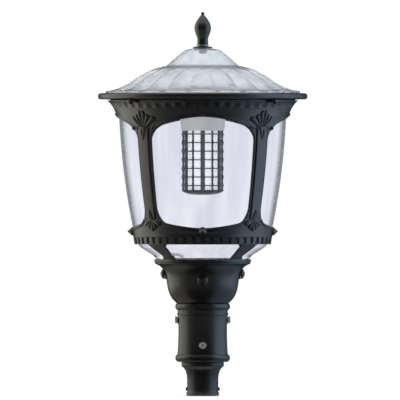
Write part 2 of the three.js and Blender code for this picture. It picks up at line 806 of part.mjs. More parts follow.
function roofPlate() {
  const rimBore = roofRadius - rimWidth;
  const [edgeWidth, edgeHeight] = [rimWidth * rimEdgeShare, rimHeight * rimEdgeShare];
  const ring = turned([
    [wellRadius - ledgeWidth, roofBase],
    [roofRadius - edgeWidth, roofBase],
    [roofRadius, roofBase + edgeHeight],
    [roofRadius, roofBase + rimHeight - edgeHeight],
    [roofRadius - edgeWidth, roofBase + rimHeight],
    [rimBore + edgeWidth, roofBase + rimHeight],
    [rimBore, roofFloor],
    [wellRadius - ledgeWidth, roofFloor],
  ], roofSteps);
  const eye = new THREE.Shape();
  eye.moveTo(-hingeEyeRadius, hingeDrop + gap);
  eye.lineTo(-hingeEyeRadius, -hingeHeel + hingeEyeRadius);
  eye.lineTo(-hingeEyeRadius / 2, -hingeHeel);
  eye.lineTo(hingeEyeRadius / 2, -hingeHeel);
  eye.lineTo(hingeEyeRadius, 0);
  eye.lineTo(hingeEyeRadius, hingeDrop + gap);
  const knuckle = new THREE.ExtrudeGeometry(eye, { depth: hingeEyeWidth, bevelEnabled: false })
    .rotateX(Math.PI / 2)
    .rotateZ(Math.PI / 2)
    .translate(-hingeEyeWidth / 2, hingeRadius, hingeHeight);
  const pinHole = new THREE.CylinderGeometry(
    hingePinRadius + gap, hingePinRadius + gap, hingeEyeWidth + 2 * overrun, boltSteps,
  ).rotateZ(Math.PI / 2).translate(0, hingeRadius, hingeHeight);
  const screwHole = uprightRod(
    roofScrewRadius + roofScrewClearance, roofScrewAt, roofBase - overrun, roofBase + roofScrewDepth + gap,
  );
  return cut(united(ring, knuckle), [pinHole, ...copiesAt(roofScrewAzimuths, screwHole)]);
}

// The dome's section: fluted petals on the skirt, a step, and a plain crown with the stud's hole
function domeSection(azimuth) {
  const petal = 360 / petalCount;
  const within = THREE.MathUtils.euclideanModulo(azimuth + petal / 2, petal) / petal;
  const valley = within < angleSlack || within > 1 - angleSlack ? 1 : 0;
  const span = domeSkirtRadius - skirtTopRadius;
  const skirt = outlined(skirtShares, skirtTopRadius, span, skirtBase, domeSkirtHeight);
  const petals = skirt.map(([r, z], i) => [r - valley * petalDepth * petalFadeShares[i], z]);
  const crown = outlined(crownShares, 0, crownRadius, crownBase, crownHeight);
  const bore = studRadius + gap;
  const inner = [
    [bore, domeTop - domeWall],
    [crown[3][0] - domeWall, domeTop - domeWall],
    [crownRadius - domeWall, crownBase - domeWall],
    [skirt[5][0] - domeWall - petalDepth, skirt[5][1] - domeWall],
    [skirt[2][0] - domeWall - petalDepth, skirt[2][1] - domeWall],
    [domeFootRadius - domeFootWidth, skirtBase - domeWall / 2],
    [domeFootRadius - domeFootWidth, domeBase],
  ];
  return [
    [domeFootRadius, domeBase],
    [domeFootRadius, skirtBase],
    ...petals,
    ...crown,
    [bore, domeTop],
    ...inner,
  ];
}

function dome() {
  const steps = petalCount * petalSteps;
  const first = 180 / petalCount;
  const azimuths = Array.from({ length: steps }, (_, i) => first + (360 * i) / steps);
  return solidOf(ringOf(azimuths, domeSection));
}

function finial() {
  const stud = domeTop - domeWall - nutHeight - 4 * gap;
  return solidOf(turned([
    [0, stud],
    [studRadius, stud],
    [studRadius, finialBase],
    ...outlined(finialShares, 0, finialRadius, finialBase, finialHeight),
  ], 2 * screwSteps));
}

function hexNut(radius, bore, height) {
  const outline = new THREE.Shape();
  for (let i = 0; i < 6; i += 1) {
    const angle = (Math.PI * i) / 3;
    const move = i === 0 ? 'moveTo' : 'lineTo';
    outline[move](radius * Math.cos(angle), radius * Math.sin(angle));
  }
  const hole = new THREE.Path();
  hole.absarc(0, 0, bore, 0, 2 * Math.PI, true);
  outline.holes.push(hole);
  const options = { depth: height, bevelEnabled: false, curveSegments: screwSteps };
  return solidOf(new THREE.ExtrudeGeometry(outline, options));
}

function gearTray() {
  const rimRadius = ledgeBore - gap;
  const neckHole = columnNeckRadius + gap;
  const disc = solidOf(turned([
    [neckHole, trayBase],
    [rimRadius - trayRimWall, trayBase],
    [rimRadius - trayRimWall, trayBase - trayRimDrop],
    [rimRadius, trayBase - trayRimDrop],
    [rimRadius, trayBase],
    [wellRadius - gap, trayBase],
    [wellRadius - gap, trayTop],
    [neckHole, trayTop],
  ]));
  const through = (radius, at) => uprightRod(radius, at, trayBase - overrun, trayTop + overrun);
  return cut(disc, [
    ...copiesAt(pairAzimuths, through(trayScrewRadius + gap, trayScrewAt)),
    ...copiesAt([leadAzimuth], through(leadHoleRadius, leadTopAt - leadHoleStep)),
  ]);
}

// The column's cap: a flange under the tray, and a neck through it for the ring nut
function columnCap() {
  return solidOf(turned([
    [columnBoltRadius + gap, capBase],
    [columnRadius - columnWaist, capBase],
    [columnRadius, capBase + columnWaist],
    [capRadius, trayBase - gap - capFlangeHeight],
    [capRadius + capFlange, trayBase - gap - capFlangeHeight],
    [capRadius + capFlange, trayBase - gap],
    [columnNeckRadius, trayBase - gap],
    [columnNeckRadius, trayTop + columnNutHeight + gap],
    [capBore, trayTop + columnNutHeight + gap],
    [capBore, capBase + capFloor],
    [columnBoltRadius + gap, capBase + capFloor],
  ]));
}

// One reflector ring of the LED column: twelve sided, drawn in at its edges
function columnRing(height) {
  const edge = columnRadius - columnWaist;
  const bore = coreRadius + gap;
  return solidOf(turned([
    [edge, 0],
    [columnRadius, columnWaist],
    [columnRadius, height - columnWaist],
    [edge, height],
    [bore, height],
    [bore, 0],
  ], columnSides));
}

function gearPlate() {
  const disc = solidOf(turned([
    [0, gearPlateBase],
    [gearPlateRadius, gearPlateBase],
    [gearPlateRadius, gearPlateTop],
    [0, gearPlateTop],
  ]));
  const through = (radius, at) => uprightRod(radius, at, gearPlateBase - overrun, gearPlateTop + overrun);
  return cut(disc, [
    ...copiesAt(pairAzimuths, through(plateScrewRadius + gap, plateScrewAt)),
    ...copiesAt([leadAzimuth], through(leadHoleRadius, leadFootAt + leadHoleStep)),
  ]);
}

function roundedBlock(length, width, height, corner) {
  const [x, y] = [length / 2, width / 2];
  const outline = new THREE.Shape();
  outline.moveTo(-x + corner, -y);
  outline.lineTo(x - corner, -y);
  outline.absarc(x - corner, -y + corner, corner, -Math.PI / 2, 0);
  outline.absarc(x - corner, y - corner, corner, 0, Math.PI / 2);
  outline.absarc(-x + corner, y - corner, corner, Math.PI / 2, Math.PI);
  outline.absarc(-x + corner, -y + corner, corner, Math.PI, 1.5 * Math.PI);
  const options = { depth: height, bevelEnabled: false, curveSegments: cornerSteps };
  return solidOf(new THREE.ExtrudeGeometry(outline, options));
}

// The internal lead: up through the gear plate, along a rear post, over the tray and into the column
function columnLead() {
  const at = (radius, height) => around(radius, leadAzimuth, height);
  const overLens = ([r, z]) => at(r - lensWall - 2 * leadRadius, z + leadRadius);
  const onPost = (height) => at(frameRadius(height) - webDepth - leadRadius - leadHoleStep, height);
  const lens = lensOutline();
  const ringInside = lensRadius - lensWall - leadRadius - leadHoleStep;
  const bend = 4 * leadRadius;
  const trayRun = trayTop + leadRadius + leadHoleStep;
  const neckRun = trayTop + columnNutHeight + 2 * leadRadius;
  const midPost = (lowerSpring + upperSpring) / 2;
  const lowPost = (lowerSpring + midPost) / 2;
  const route = new THREE.CatmullRomCurve3([
    at(leadFootAt, gearPlateBase - bend),
    at(leadFootAt, gearPlateBase),
    at(leadFootAt + leadHoleStep, gearPlateTop + leadRadius),
    at(leadFootAt + bend, gearPlateTop + bend / 2),
    overLens(lens[1]),
    overLens(lens[2]),
    overLens(lens[3]),
    at(ringInside, lowerRingBase + bend),
    at(ringInside, lowerLedge),
    onPost(lowPost),
    onPost(midPost),
    at(leadTopAt, upperSpring),
    at(leadTopAt, trayBase),
    at(leadTopAt - leadHoleStep, trayTop + leadRadius),
    at(leadTopAt - bend / 2, trayTop + bend / 2),
    at(leadTopAt - 2 * bend, trayRun + leadHoleStep),
    at(leadTopAt - 3 * bend, trayRun),
    at(leadTopAt / 2, trayRun),
    at(columnNeckRadius + columnNutWall + 2 * bend, trayRun),
    at(columnNeckRadius + columnNutWall, trayRun + bend / 2),
    at(columnNeckRadius, neckRun),
    at(capBore / 2, neckRun),
    at(leadRadius, trayTop + leadRadius),
    at(leadRadius, trayBase - bend),
  ], false, 'centripetal');
  const outline = new THREE.Shape();
  outline.absarc(0, 0, leadRadius, 0, 2 * Math.PI);
  return solidOf(new THREE.ExtrudeGeometry(outline, {
    steps: leadSteps, bevelEnabled: false, extrudePath: route, curveSegments: screwSteps / 2,
  }));
}

const lantern = new THREE.Group();

function piece(name, solid, finish) {
  const mesh = new THREE.Mesh(geometryOf(solid), new THREE.MeshStandardMaterial(finish));
  mesh.name = name;
  return mesh;
}

// A screw whose head faces outwards at an azimuth, its seat at a radius and height
function radialScrew(name, solid, finish, azimuth, radius, height, facing = 1) {
  const screw = piece(name, solid, finish);
  screw.rotation.x = (facing * Math.PI) / 2;
  screw.position.set(0, -radius, height);
  const arm = new THREE.Group();
  arm.rotation.z = radians(azimuth);
  arm.add(screw);
  lantern.add(arm);
}

// An upright screw at an azimuth, its seat at a radius and height, its head up or down
function uprightScrew(name, solid, finish, azimuth, radius, height, up = true) {
  const screw = piece(name, solid, finish);
  screw.position.copy(around(radius, azimuth, height));
  screw.rotation.x = up ? 0 : Math.PI;
  lantern.add(screw);
}

// A screw whose head has the given outline, sized from its shank
function headed(radius, length, shares, headShare, heightShare, steps = screwSteps) {
  return solidOf(screwOf(radius, length, radius * headShare, radius * heightShare, shares, steps));
}

const panScrew = (radius, length) => headed(radius, length, panHeadShares, panHeadShare, panHeadHeightShare);
const socketScrew = (radius, length, steps) => headed(
  radius, length, socketHeadShares, socketHeadShare, socketHeadHeightShare, steps,
);

// Pole adapter, fitter and the bolts between them
function addBase() {
  lantern.add(piece('pole_adapter', poleAdapter(), blackAdapter));
  const grub = solidOf(screwOf(grubRadius, sleeveWall, grubRadius, 2 * footRingStep, socketHeadShares));
  grubAzimuths.forEach((azimuth, i) => {
    radialScrew(`adapter_screw_${i + 1}`, grub, blackSteel, azimuth, sleeveRadius, grubHeight);
  });

  lantern.add(piece('fitter', fitter(), blackPaint));
  crossAzimuths.forEach((azimuth, i) => {
    const seat = clampSeat(i);
    const bolt = socketScrew(clampBoltRadius, seat - neckBore, boltSteps);
    radialScrew(`clamp_bolt_${i + 1}`, bolt, stainless, azimuth, seat, neckBase + clampHeights[i]);
  });
}

// Lower frame with its lens, and the bolts through the bell
function addLowerFrame() {
  lantern.add(piece('lower_frame', lowerFrame(), blackPaint));
  lantern.add(piece('lower_lens', lowerLens(), clearPlastic));
  crossAzimuths.forEach((azimuth, i) => {
    const seat = frameBoltSeat(i);
    const bolt = solidOf(screwOf(
      frameBoltRadius, seat - skirtBore, frameBoltHead, frameBoltHeadHeight, domeHeadShares, boltSteps,
    ));
    radialScrew(`frame_bolt_${i + 1}`, bolt, blackPaint, azimuth, seat, frameBoltHeights[i]);
  });
}

// Posts with their screws, panes and pane seals
function addWindows() {
  const postScrewEnd = frameRadius(upperScrewHeight) - postScrewSkin - gap;
  const screw = panScrew(postScrewRadius, postScrewEnd - postScrewSeat);
  const postSolid = geometryOf(post());
  postAzimuths.forEach((azimuth, i) => {
    const upright = new THREE.Mesh(postSolid, new THREE.MeshStandardMaterial(blackPaint));
    upright.name = `post_${i + 1}`;
    upright.rotation.z = radians(azimuth);
    lantern.add(upright);
    radialScrew(`post_screw_${i + 1}`, screw, stainless, azimuth, postScrewSeat - gap, upperScrewHeight, -1);
  });

  const sealBase = paneTop - trayRimDrop / 2;
  const sealSection = (azimuth) => {
    const behindPane = windowShare(azimuth) < 1;
    const reach = (z) => (behindPane ? globeRadius(z) - paneWall : frameRadius(z) - webDepth) - gap;
    const outer = [[reach(sealBase), sealBase], [reach(paneTop), paneTop]];
    return [[ledgeBore, sealBase], ...outer, [ledgeBore, paneTop]];
  };
  const sealStations = allRound(windowHalfAngle - 2 * angleSlack, paneHalfAngle);
  lantern.add(piece('pane_seal', solidOf(ringOf(sealStations, sealSection)), rubber));
  const paneSolid = solidOf(panelOf(acrossWindow(windowHalfAngle, paneHalfAngle), paneSection()));
  ['front', 'right', 'rear', 'left'].forEach((side, i) => {
    const turn = [0, 0, i * windowPitch];
    lantern.add(piece(`pane_${side}`, paneSolid.rotate(turn), clearPlastic));
  });
}

// Upper ring, roof seal and the gear tray on the ring's ledge
function addUpperRing() {
  lantern.add(piece('upper_ring', upperRing(), blackPaint));
  const sealMiddle = (wellRadius + corniceRadius) / 2;
  const sealHalf = (corniceRadius - wellRadius) / 4;
  const sealBase = corniceTop + gap;
  lantern.add(piece('roof_seal', solidOf(turned([
    [sealMiddle - sealHalf, sealBase],
    [sealMiddle + sealHalf, sealBase],
    [sealMiddle + sealHalf, sealBase + sealThickness],
    [sealMiddle - sealHalf, sealBase + sealThickness],
  ])), rubber));
  lantern.add(piece('gear_tray', gearTray(), whitePaint));
  const screw = panScrew(trayScrewRadius, trayThickness + screwBite);
  pairAzimuths.forEach((azimuth, i) => {
    uprightScrew(`tray_screw_${i + 1}`, screw, stainless, azimuth, trayScrewAt, trayTop + gap);
  });
}

// LED column: cap, core, reflector rings, end cap and the long bolt that holds them
function addColumn() {
  lantern.add(piece('column_cap', columnCap(), greyCasting));
  const nutBase = trayTop + gap;
  lantern.add(piece('column_nut', solidOf(turned([
    [columnNeckRadius + gap, nutBase],
    [columnNeckRadius + columnNutWall, nutBase],
    [columnNeckRadius + columnNutWall, nutBase + columnNutHeight],
    [columnNeckRadius + gap, nutBase + columnNutHeight],
  ])), stainless));
  const endCapTop = endCapBase + endCapHeight;
  const coreTop = capBase - gap;
  lantern.add(piece('led_core', solidOf(turned([
    [coreRadius - coreWall, endCapTop + gap],
    [coreRadius, endCapTop + gap],
    [coreRadius, coreTop],
    [coreRadius - coreWall, coreTop],
  ], columnSides)), greyCasting));
  for (let row = 1; row <= columnRows; row += 1) {
    const ring = columnRing(columnPitch - gap).translate([0, 0, capBase - gap - row * columnPitch]);
    lantern.add(piece(`reflector_ring_${row}`, ring, mirrorPlastic));
  }
  const recessRadius = columnBoltRadius * panHeadShare + 2 * gap;
  const edge = columnRadius - columnWaist;
  lantern.add(piece('column_end_cap', solidOf(turned([
    [columnBoltRadius + gap, endCapBase + endCapRecess],
    [recessRadius, endCapBase + endCapRecess],
    [recessRadius, endCapBase],
    [edge * shoulderShare, endCapBase],
    [edge, endCapBase + endCapRecess],
    [columnRadius, endCapTop - endCapHeight / 2],
    [edge, endCapTop],
    [columnBoltRadius + gap, endCapTop],
  ], columnSides)), blackPaint));
  const bolt = headed(
    columnBoltRadius, capBase + capFloor - endCapBase - endCapRecess, panHeadShares, panHeadShare,
    (endCapRecess - 2 * gap) / columnBoltRadius,
  );
  uprightScrew('column_bolt', bolt, stainless, 0, 0, endCapBase + endCapRecess - gap, false);
}

// Gear plate over the bell, with the driver and terminal block hung under it, and the lead
function addGear() {
  lantern.add(piece('gear_plate', gearPlate(), whitePaint));
  const screw = panScrew(plateScrewRadius, gearPlateThickness + screwBite);
  pairAzimuths.forEach((azimuth, i) => {
    uprightScrew(`plate_screw_${i + 1}`, screw, stainless, azimuth, plateScrewAt, gearPlateTop + gap);
  });
  const driver = roundedBlock(driverLength, driverWidth, driverHeight, driverCorner);
  const driverBase = gearPlateBase - gap - driverHeight;
  lantern.add(piece('led_driver', driver.translate([driverAt, 0, driverBase]), greyCase));
  const terminal = roundedBlock(terminalLength, terminalWidth, terminalHeight, driverCorner / 2);
  const terminalBase = gearPlateBase - gap - terminalHeight;
  lantern.add(piece('terminal_block', terminal.translate([terminalAt, 0, terminalBase]), paleNylon));
  lantern.add(piece('column_lead', columnLead(), rubber));
}

// Roof plate, dome and its gasket, finial, hinge pin and captive screws
function addRoof() {
  lantern.add(piece('roof_plate', roofPlate(), blackPaint));
  const gasketInner = domeFootRadius - domeFootWidth;
  lantern.add(piece('dome_gasket', solidOf(turned([
    [gasketInner, gasketBase],
    [domeFootRadius, gasketBase],
    [domeFootRadius, gasketBase + gasketThickness],
    [gasketInner, gasketBase + gasketThickness],
  ])), rubber));
  lantern.add(piece('dome', dome(), clearPlastic));

  const roofScrew = socketScrew(
    roofScrewRadius, roofBase + roofScrewDepth - corniceTop + lugThickness,
  );
  ['right', 'left'].forEach((side, i) => {
    const seat = corniceTop - lugThickness - gap;
    uprightScrew(`roof_screw_${side}`, roofScrew, blackSteel, roofScrewAzimuths[i], roofScrewAt, seat, false);
  });

  const pinLength = hingeEyeWidth + 2 * hingeEarThickness + 4 * gap;
  const pin = solidOf(new THREE.CylinderGeometry(hingePinRadius, hingePinRadius, pinLength, boltSteps));
  const hingePin = piece('hinge_pin', pin, stainless);
  hingePin.rotation.z = Math.PI / 2;
  hingePin.position.set(0, hingeRadius, hingeHeight);
  lantern.add(hingePin);

  const washer = (outer, base, height) => solidOf(turned([
    [studRadius + gap, base],
    [outer, base],
    [outer, base + height],
    [studRadius + gap, base + height],
  ], 2 * screwSteps));
  lantern.add(piece('finial', finial(), blackPaint));
  lantern.add(piece('finial_ring', washer(neckRingRadius, neckRingBase, neckRingHeight), stainless));
  lantern.add(piece('finial_flange', washer(flangeRadius, flangeBase, flangeHeight), blackPaint));
  const nut = piece('finial_nut', hexNut(nutRadius, studRadius + gap, nutHeight), blackSteel);
  nut.position.z = domeTop - domeWall - gap - nutHeight;
  lantern.add(nut);
}

addBase();
addLowerFrame();
addWindows();
addUpperRing();
addColumn();
addGear();
addRoof();

export default lantern;
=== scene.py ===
"""Looks of the post top lantern: fluted dome, four curved windows and an LED column on a cast fitter.

Sizes are in millimetres and become metres when a mesh is made. The origin is the centre of the pole
adapter's lower rim. Azimuths are in degrees from the front (-Y) towards +X, so +X is at 90.
"""

import logging
import math
from dataclasses import dataclass
from enum import Enum

import bpy
import numpy as np
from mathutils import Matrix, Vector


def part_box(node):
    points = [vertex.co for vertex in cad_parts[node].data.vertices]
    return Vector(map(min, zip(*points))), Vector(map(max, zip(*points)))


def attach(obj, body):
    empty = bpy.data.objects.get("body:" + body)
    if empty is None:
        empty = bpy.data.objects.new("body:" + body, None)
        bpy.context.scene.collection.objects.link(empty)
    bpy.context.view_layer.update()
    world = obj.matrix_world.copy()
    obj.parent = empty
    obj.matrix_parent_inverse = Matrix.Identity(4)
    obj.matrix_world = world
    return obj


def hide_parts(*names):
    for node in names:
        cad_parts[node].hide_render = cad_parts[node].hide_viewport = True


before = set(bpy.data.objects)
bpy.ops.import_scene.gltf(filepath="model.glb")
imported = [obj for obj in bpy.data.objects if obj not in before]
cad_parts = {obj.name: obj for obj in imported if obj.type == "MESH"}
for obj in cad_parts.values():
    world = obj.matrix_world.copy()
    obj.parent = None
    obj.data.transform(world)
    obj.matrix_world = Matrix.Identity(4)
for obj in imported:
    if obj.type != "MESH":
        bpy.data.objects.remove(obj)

LOG = logging.getLogger("lantern")
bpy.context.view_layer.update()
MM = 0.001

# Corners that lie closer than this, in millimetres, become one
JOIN = 0.004
FULL_TURN = 360.0
CROSS = (0.0, 90.0, 180.0, 270.0)
DIAGONALS = (45.0, 135.0, 225.0, 315.0)
SIXTH = FULL_TURN / 6
PAN_RADIUS, PAN_HEIGHT = 4.5, 3.25
# The gap that assembled pieces keep to each other
GAP = 0.3


class Slot(Enum):
    """The record's material slots."""

    BLACK = "black_paint"
    ADAPTER = "adapter_paint"
    STAINLESS = "stainless"
    BLACK_STEEL = "black_steel"
    CLEAR = "clear_plastic"
    WHITE = "white_paint"
    CASTING = "grey_casting"
    MIRROR = "mirror_plastic"
    RUBBER = "rubber"
    CASE = "grey_case"
    NYLON = "pale_nylon"


class Body(Enum):
    """The bodies that more than one piece rides on. Screws ride on bodies of their own names."""

    LANTERN = "lantern"
    ROOF = "roof"


def linear(code: str, alpha: float = 1.0) -> tuple[float, float, float, float]:
    """Turns an sRGB hex colour into the linear values that a shader socket takes.

    Each channel c becomes c / 12.92 below 0.04045, and ((c + 0.055) / 1.055) to the power 2.4 above it.

    Args:
        code: Six hex digits after a hash sign.
        alpha: The fourth value.

    Returns:
        Red, green, blue and alpha.
    """
    channels = [int(code[i:i + 2], 16) / 255 for i in (1, 3, 5)]
    red, green, blue = (c / 12.92 if c <= 0.04045 else ((c + 0.055) / 1.055) ** 2.4 for c in channels)
    return red, green, blue, alpha


def add_node(tree: bpy.types.NodeTree, kind: str, settings: dict | None = None,
             values: dict | None = None, links: dict | None = None) -> bpy.types.Node:
    """Adds a node with its settings and links.

    Args:
        tree: The node tree that takes the node.
        kind: The node's Blender type, without the prefix of all shader nodes.
        settings: Properties of the node by name.
        values: Input sockets by name or index, each with its own value.
        links: Input sockets by name or index, each with the output socket that feeds it.

    Returns:
        The new node.
    """
    node = tree.nodes.new("ShaderNode" + kind)
    for name, setting in (settings or {}).items():
        setattr(node, name, setting)
    for name, value in (values or {}).items():
        node.inputs[name].default_value = value
    for name, source in (links or {}).items():
        tree.links.new(source, node.inputs[name])
    return node


class Dressing:
    """Anything that lays out a material's nodes. The material is built once and then shared."""

    name: str

    def material(self) -> bpy.types.Material:
        """The material of this name, built on the first call."""
        made = bpy.data.materials.get(self.name)
        if made is None:
            made = blank_material(self.name)
            self.build(made.node_tree)
        return made

    def build(self, tree: bpy.types.NodeTree) -> None:
        """Lays out the nodes in the material's empty tree."""
        raise NotImplementedError


def blank_material(name: str) -> bpy.types.Material:
    """A new material with nothing in its node tree."""
    made = bpy.data.materials.new(name)
    made.use_nodes = True
    made.node_tree.nodes.clear()
    return made


@dataclass(frozen=True)
class Finish(Dressing):
    """A surface made of one material: its colours, its gloss and the grain that its making leaves.

    The colour drifts between two hex values over patches of a real size, the roughness drifts with it,
    and a finer grain is put into the normal as a bump of a real height.
    """

    name: str
    colour: str
    drift_colour: str
    roughness: float
    roughness_drift: float = 0.04
    metallic: float = 0.0
    patch_mm: float = 40.0
    grain_mm: float = 1.5
    grain_height_mm: float = 0.02
    specular: float = 0.5
    glow: float = 0.0

    def build(self, tree: bpy.types.NodeTree) -> None:
        """Lays out the nodes: two noises on Object coordinates feed colour, roughness and bump.

        Args:
            tree: The material's empty node tree.
        """
        where = add_node(tree, "TexCoord").outputs["Object"]
        patch, grain = (
            add_node(tree, "TexNoise", links={"Vector": where},
                     values={"Scale": 1 / (size * MM), "Detail": detail, "Roughness": 0.5})
            for size, detail in ((self.patch_mm, 3.0), (self.grain_mm, 2.0))
        )
        colour = add_node(
            tree, "Mix", settings={"data_type": "RGBA"},
            values={6: linear(self.colour), 7: linear(self.drift_colour)},
            links={0: patch.outputs["Fac"]},
        )
        rough = add_node(
            tree, "MapRange",
            values={"To Min": self.roughness - self.roughness_drift,
                    "To Max": self.roughness + self.roughness_drift},
            links={"Value": patch.outputs["Fac"]},
        )
        bump = add_node(tree, "Bump", links={"Height": grain.outputs["Fac"]},
                        values={"Distance": self.grain_height_mm * MM, "Strength": 1.0})
        shader = add_node(
            tree, "BsdfPrincipled",
            values={"Metallic": self.metallic, "Specular IOR Level": self.specular,
                    "Emission Color": linear(self.colour), "Emission Strength": self.glow},
            links={"Base Color": colour.outputs[2], "Roughness": rough.outputs["Result"],
                   "Normal": bump.outputs["Normal"]},
        )
        add_node(tree, "OutputMaterial", links={"Surface": shader.outputs["BSDF"]})


@dataclass(frozen=True)
class ClearMoulding(Dressing):
    """A moulded or formed clear plastic: its tint drifts in the upright streaks that forming leaves."""

    name: str
    tint: str
    streak_tint: str
    ior: float
    roughness: float
    streak_mm: float
    streak_stretch: float = 0.06
    streak_edges: tuple[float, float] = (0.38, 0.62)
    edge: tuple[float, float] = (0.68, 0.98)
    edge_shade_tint: str = "#59616A"
    edge_shade_share: float = 0.92
    band: tuple[float, float, float] = (-1.0, -0.9, 0.1)
    band_shade_tint: str = "#FFFFFF"
    clear: float = 1.0

    def build(self, tree: bpy.types.NodeTree) -> None:
        """Lays out the nodes: a see-through shader whose tint a stretched noise drifts.

        The tint turns to the band's tint, a painted shade, between the band's two heights in mm, and eases
        in and out over its third number: the product of a rise below it and a fall above it. Where the
        surface turns edge on, the tint is painted darker: painted shade for the dark bands at the edges.

        Args:
            tree: The material's empty node tree.
        """
        where = add_node(tree, "TexCoord").outputs["Object"]
        upright = add_node(tree, "Mapping", values={"Scale": (1.0, 1.0, self.streak_stretch)},
                           links={"Vector": where})
        streaks = add_node(
            tree, "TexNoise",
            values={"Scale": 1 / (self.streak_mm * MM), "Detail": 2.0, "Roughness": 0.4},
            links={"Vector": upright.outputs[0]},
        )
        clearer = add_node(
            tree, "MapRange",
            values={"From Min": self.streak_edges[0], "From Max": self.streak_edges[1]},
            links={"Value": streaks.outputs["Fac"]},
        )
        drift = add_node(tree, "Mix", settings={"data_type": "RGBA"},
                         values={6: linear(self.tint), 7: linear(self.streak_tint)},
                         links={0: clearer.outputs["Result"]})
        # The band is painted shade: a greyer tint laid over the dome's step
        low, high, ease = (value * MM for value in self.band)
        height = add_node(tree, "SeparateXYZ", links={"Vector": where}).outputs["Z"]
        rise = add_node(tree, "MapRange", values={"From Min": low - ease, "From Max": low},
                        links={"Value": height})
        fall = add_node(tree, "MapRange", values={"From Min": high + ease, "From Max": high},
                        links={"Value": height})
        inside = add_node(tree, "Math", settings={"operation": "MULTIPLY"},
                          links={0: rise.outputs["Result"], 1: fall.outputs["Result"]})
        shade = add_node(tree, "Mix", settings={"data_type": "RGBA"},
                         values={7: linear(self.band_shade_tint)},
                         links={0: inside.outputs[0], 6: drift.outputs[2]})
        # Painted shade: the tint is mixed darker where the surface turns edge on
        edge_on = add_node(tree, "LayerWeight", values={"Blend": 0.5}).outputs["Facing"]
        edge_shading = add_node(
            tree, "MapRange",
            values={"From Min": self.edge[0], "From Max": self.edge[1], "To Max": self.edge_shade_share},
            links={"Value": edge_on},
        )
        depth = add_node(tree, "Mix", settings={"data_type": "RGBA"},
                         values={7: linear(self.edge_shade_tint)},
                         links={0: edge_shading.outputs["Result"], 6: shade.outputs[2]})
        shader = add_node(
            tree, "BsdfPrincipled",
            values={"Roughness": self.roughness, "IOR": self.ior, "Transmission Weight": self.clear},
            links={"Base Color": depth.outputs[2]},
        )
        add_node(tree, "OutputMaterial", links={"Surface": shader.outputs["BSDF"]})


# Baked on over a casting, so edges are soft and the orange peel catches light
POWDER_COAT = Finish("polyester_powder_coat_on_cast_aluminium", "#08080A", "#0D0D0E", 0.34, 0.05,
                     patch_mm=60, grain_mm=2.2, grain_height_mm=0.012, specular=1.0)
# A finer, more satin powder over the adapter's turned surface
SATIN_COAT = Finish("satin_powder_coat_on_turned_aluminium", "#08080A", "#0D0D0E", 0.38, 0.04,
                    patch_mm=45, grain_mm=1.6, grain_height_mm=0.01, specular=0.9)
# Bright, with a faint drawn grain
STAINLESS_STEEL = Finish("cold_headed_stainless_steel", "#D0D1D3", "#C0C2C5", 0.34, 0.05, metallic=0.75,
                         patch_mm=6, grain_mm=0.8, grain_height_mm=0.006)
# Near black, with a dull metal sheen on the edges
BLACK_OXIDE = Finish("black_oxide_alloy_steel", "#1C1C1E", "#262628", 0.36, 0.05, metallic=0.4,
                     patch_mm=5, grain_mm=0.8, grain_height_mm=0.008)
# The finial's neck ring: a soft bluish grey band
SATIN_CHROME = Finish("satin_chromed_zinc", "#9DA1A8", "#8C9097", 0.3, 0.04, metallic=0.9,
                      patch_mm=8, grain_mm=1.0, grain_height_mm=0.005)
# Clean and a little glossy
WHITE_ENAMEL = Finish("white_baked_enamel_on_sheet_steel", "#E4E4E0", "#DCDCD6", 0.38, 0.05,
                      patch_mm=50, grain_mm=2.5, grain_height_mm=0.008)
# The column's cap: light grey, with a fine blasted grain, and a faint painted glow for the light it gets
# inside the globe
CAST_ALUMINIUM = Finish("shot_blasted_cast_aluminium", "#E6E6E2", "#DADAD6", 0.5, 0.05,
                        patch_mm=18, grain_mm=1.2, grain_height_mm=0.03, glow=0.09)
# The cage of rings and bars: satin, mid grey against the opal
SMOKED_ABS = Finish("moulded_smoke_grey_abs", "#4E5154", "#5A5D60", 0.3, 0.04,
                    patch_mm=12, grain_mm=1.0, grain_height_mm=0.01)
# Over the light emitting boards: white, soft and lit from behind
OPAL_ACRYLIC = Finish("opal_acrylic", "#F2F2F0", "#ECECEA", 0.35, 0.04,
                      patch_mm=30, grain_mm=1.5, grain_height_mm=0.01, glow=0.72)
# The lead: a painted glow lightens it, so that it all but vanishes behind the clear cone
PVC_SHEATH = Finish("white_pvc_sheath", "#E8E9EA", "#DFE0E1", 0.45, 0.05,
                    patch_mm=20, grain_mm=1.5, grain_height_mm=0.01, glow=0.2)
# Seals: matt, with a faint extruded grain
EPDM_RUBBER = Finish("extruded_epdm_rubber", "#1B1B1B", "#232323", 0.75, 0.06,
                     patch_mm=12, grain_mm=0.9, grain_height_mm=0.03)
# The driver's case: fibres that read as a fine grain
DRIVER_CASE = Finish("moulded_glass_filled_polyamide", "#585B5E", "#4D5053", 0.5, 0.06,
                     patch_mm=10, grain_mm=0.8, grain_height_mm=0.03)
# The terminal block: pale and waxy
NATURAL_NYLON = Finish("moulded_natural_nylon", "#DAD6C8", "#CFCBBC", 0.45, 0.05,
                       patch_mm=8, grain_mm=1.0, grain_height_mm=0.015)
# The panes: a faint lavender tint in depth, and nearly flat, with painted shade where they turn edge on
CLEAR_ACRYLIC = ClearMoulding("bent_clear_acrylic_sheet", "#F4F5FA", "#E9EAF2", 1.1, 0.02, 34,
                              edge=(0.6, 0.82))
# The cone: injection moulded, so a little softer and greyer, with painted shade where it turns edge on
CLEAR_POLYCARBONATE = ClearMoulding("moulded_clear_polycarbonate", "#F6F6FA", "#E9E9F0", 1.08, 0.06, 40)
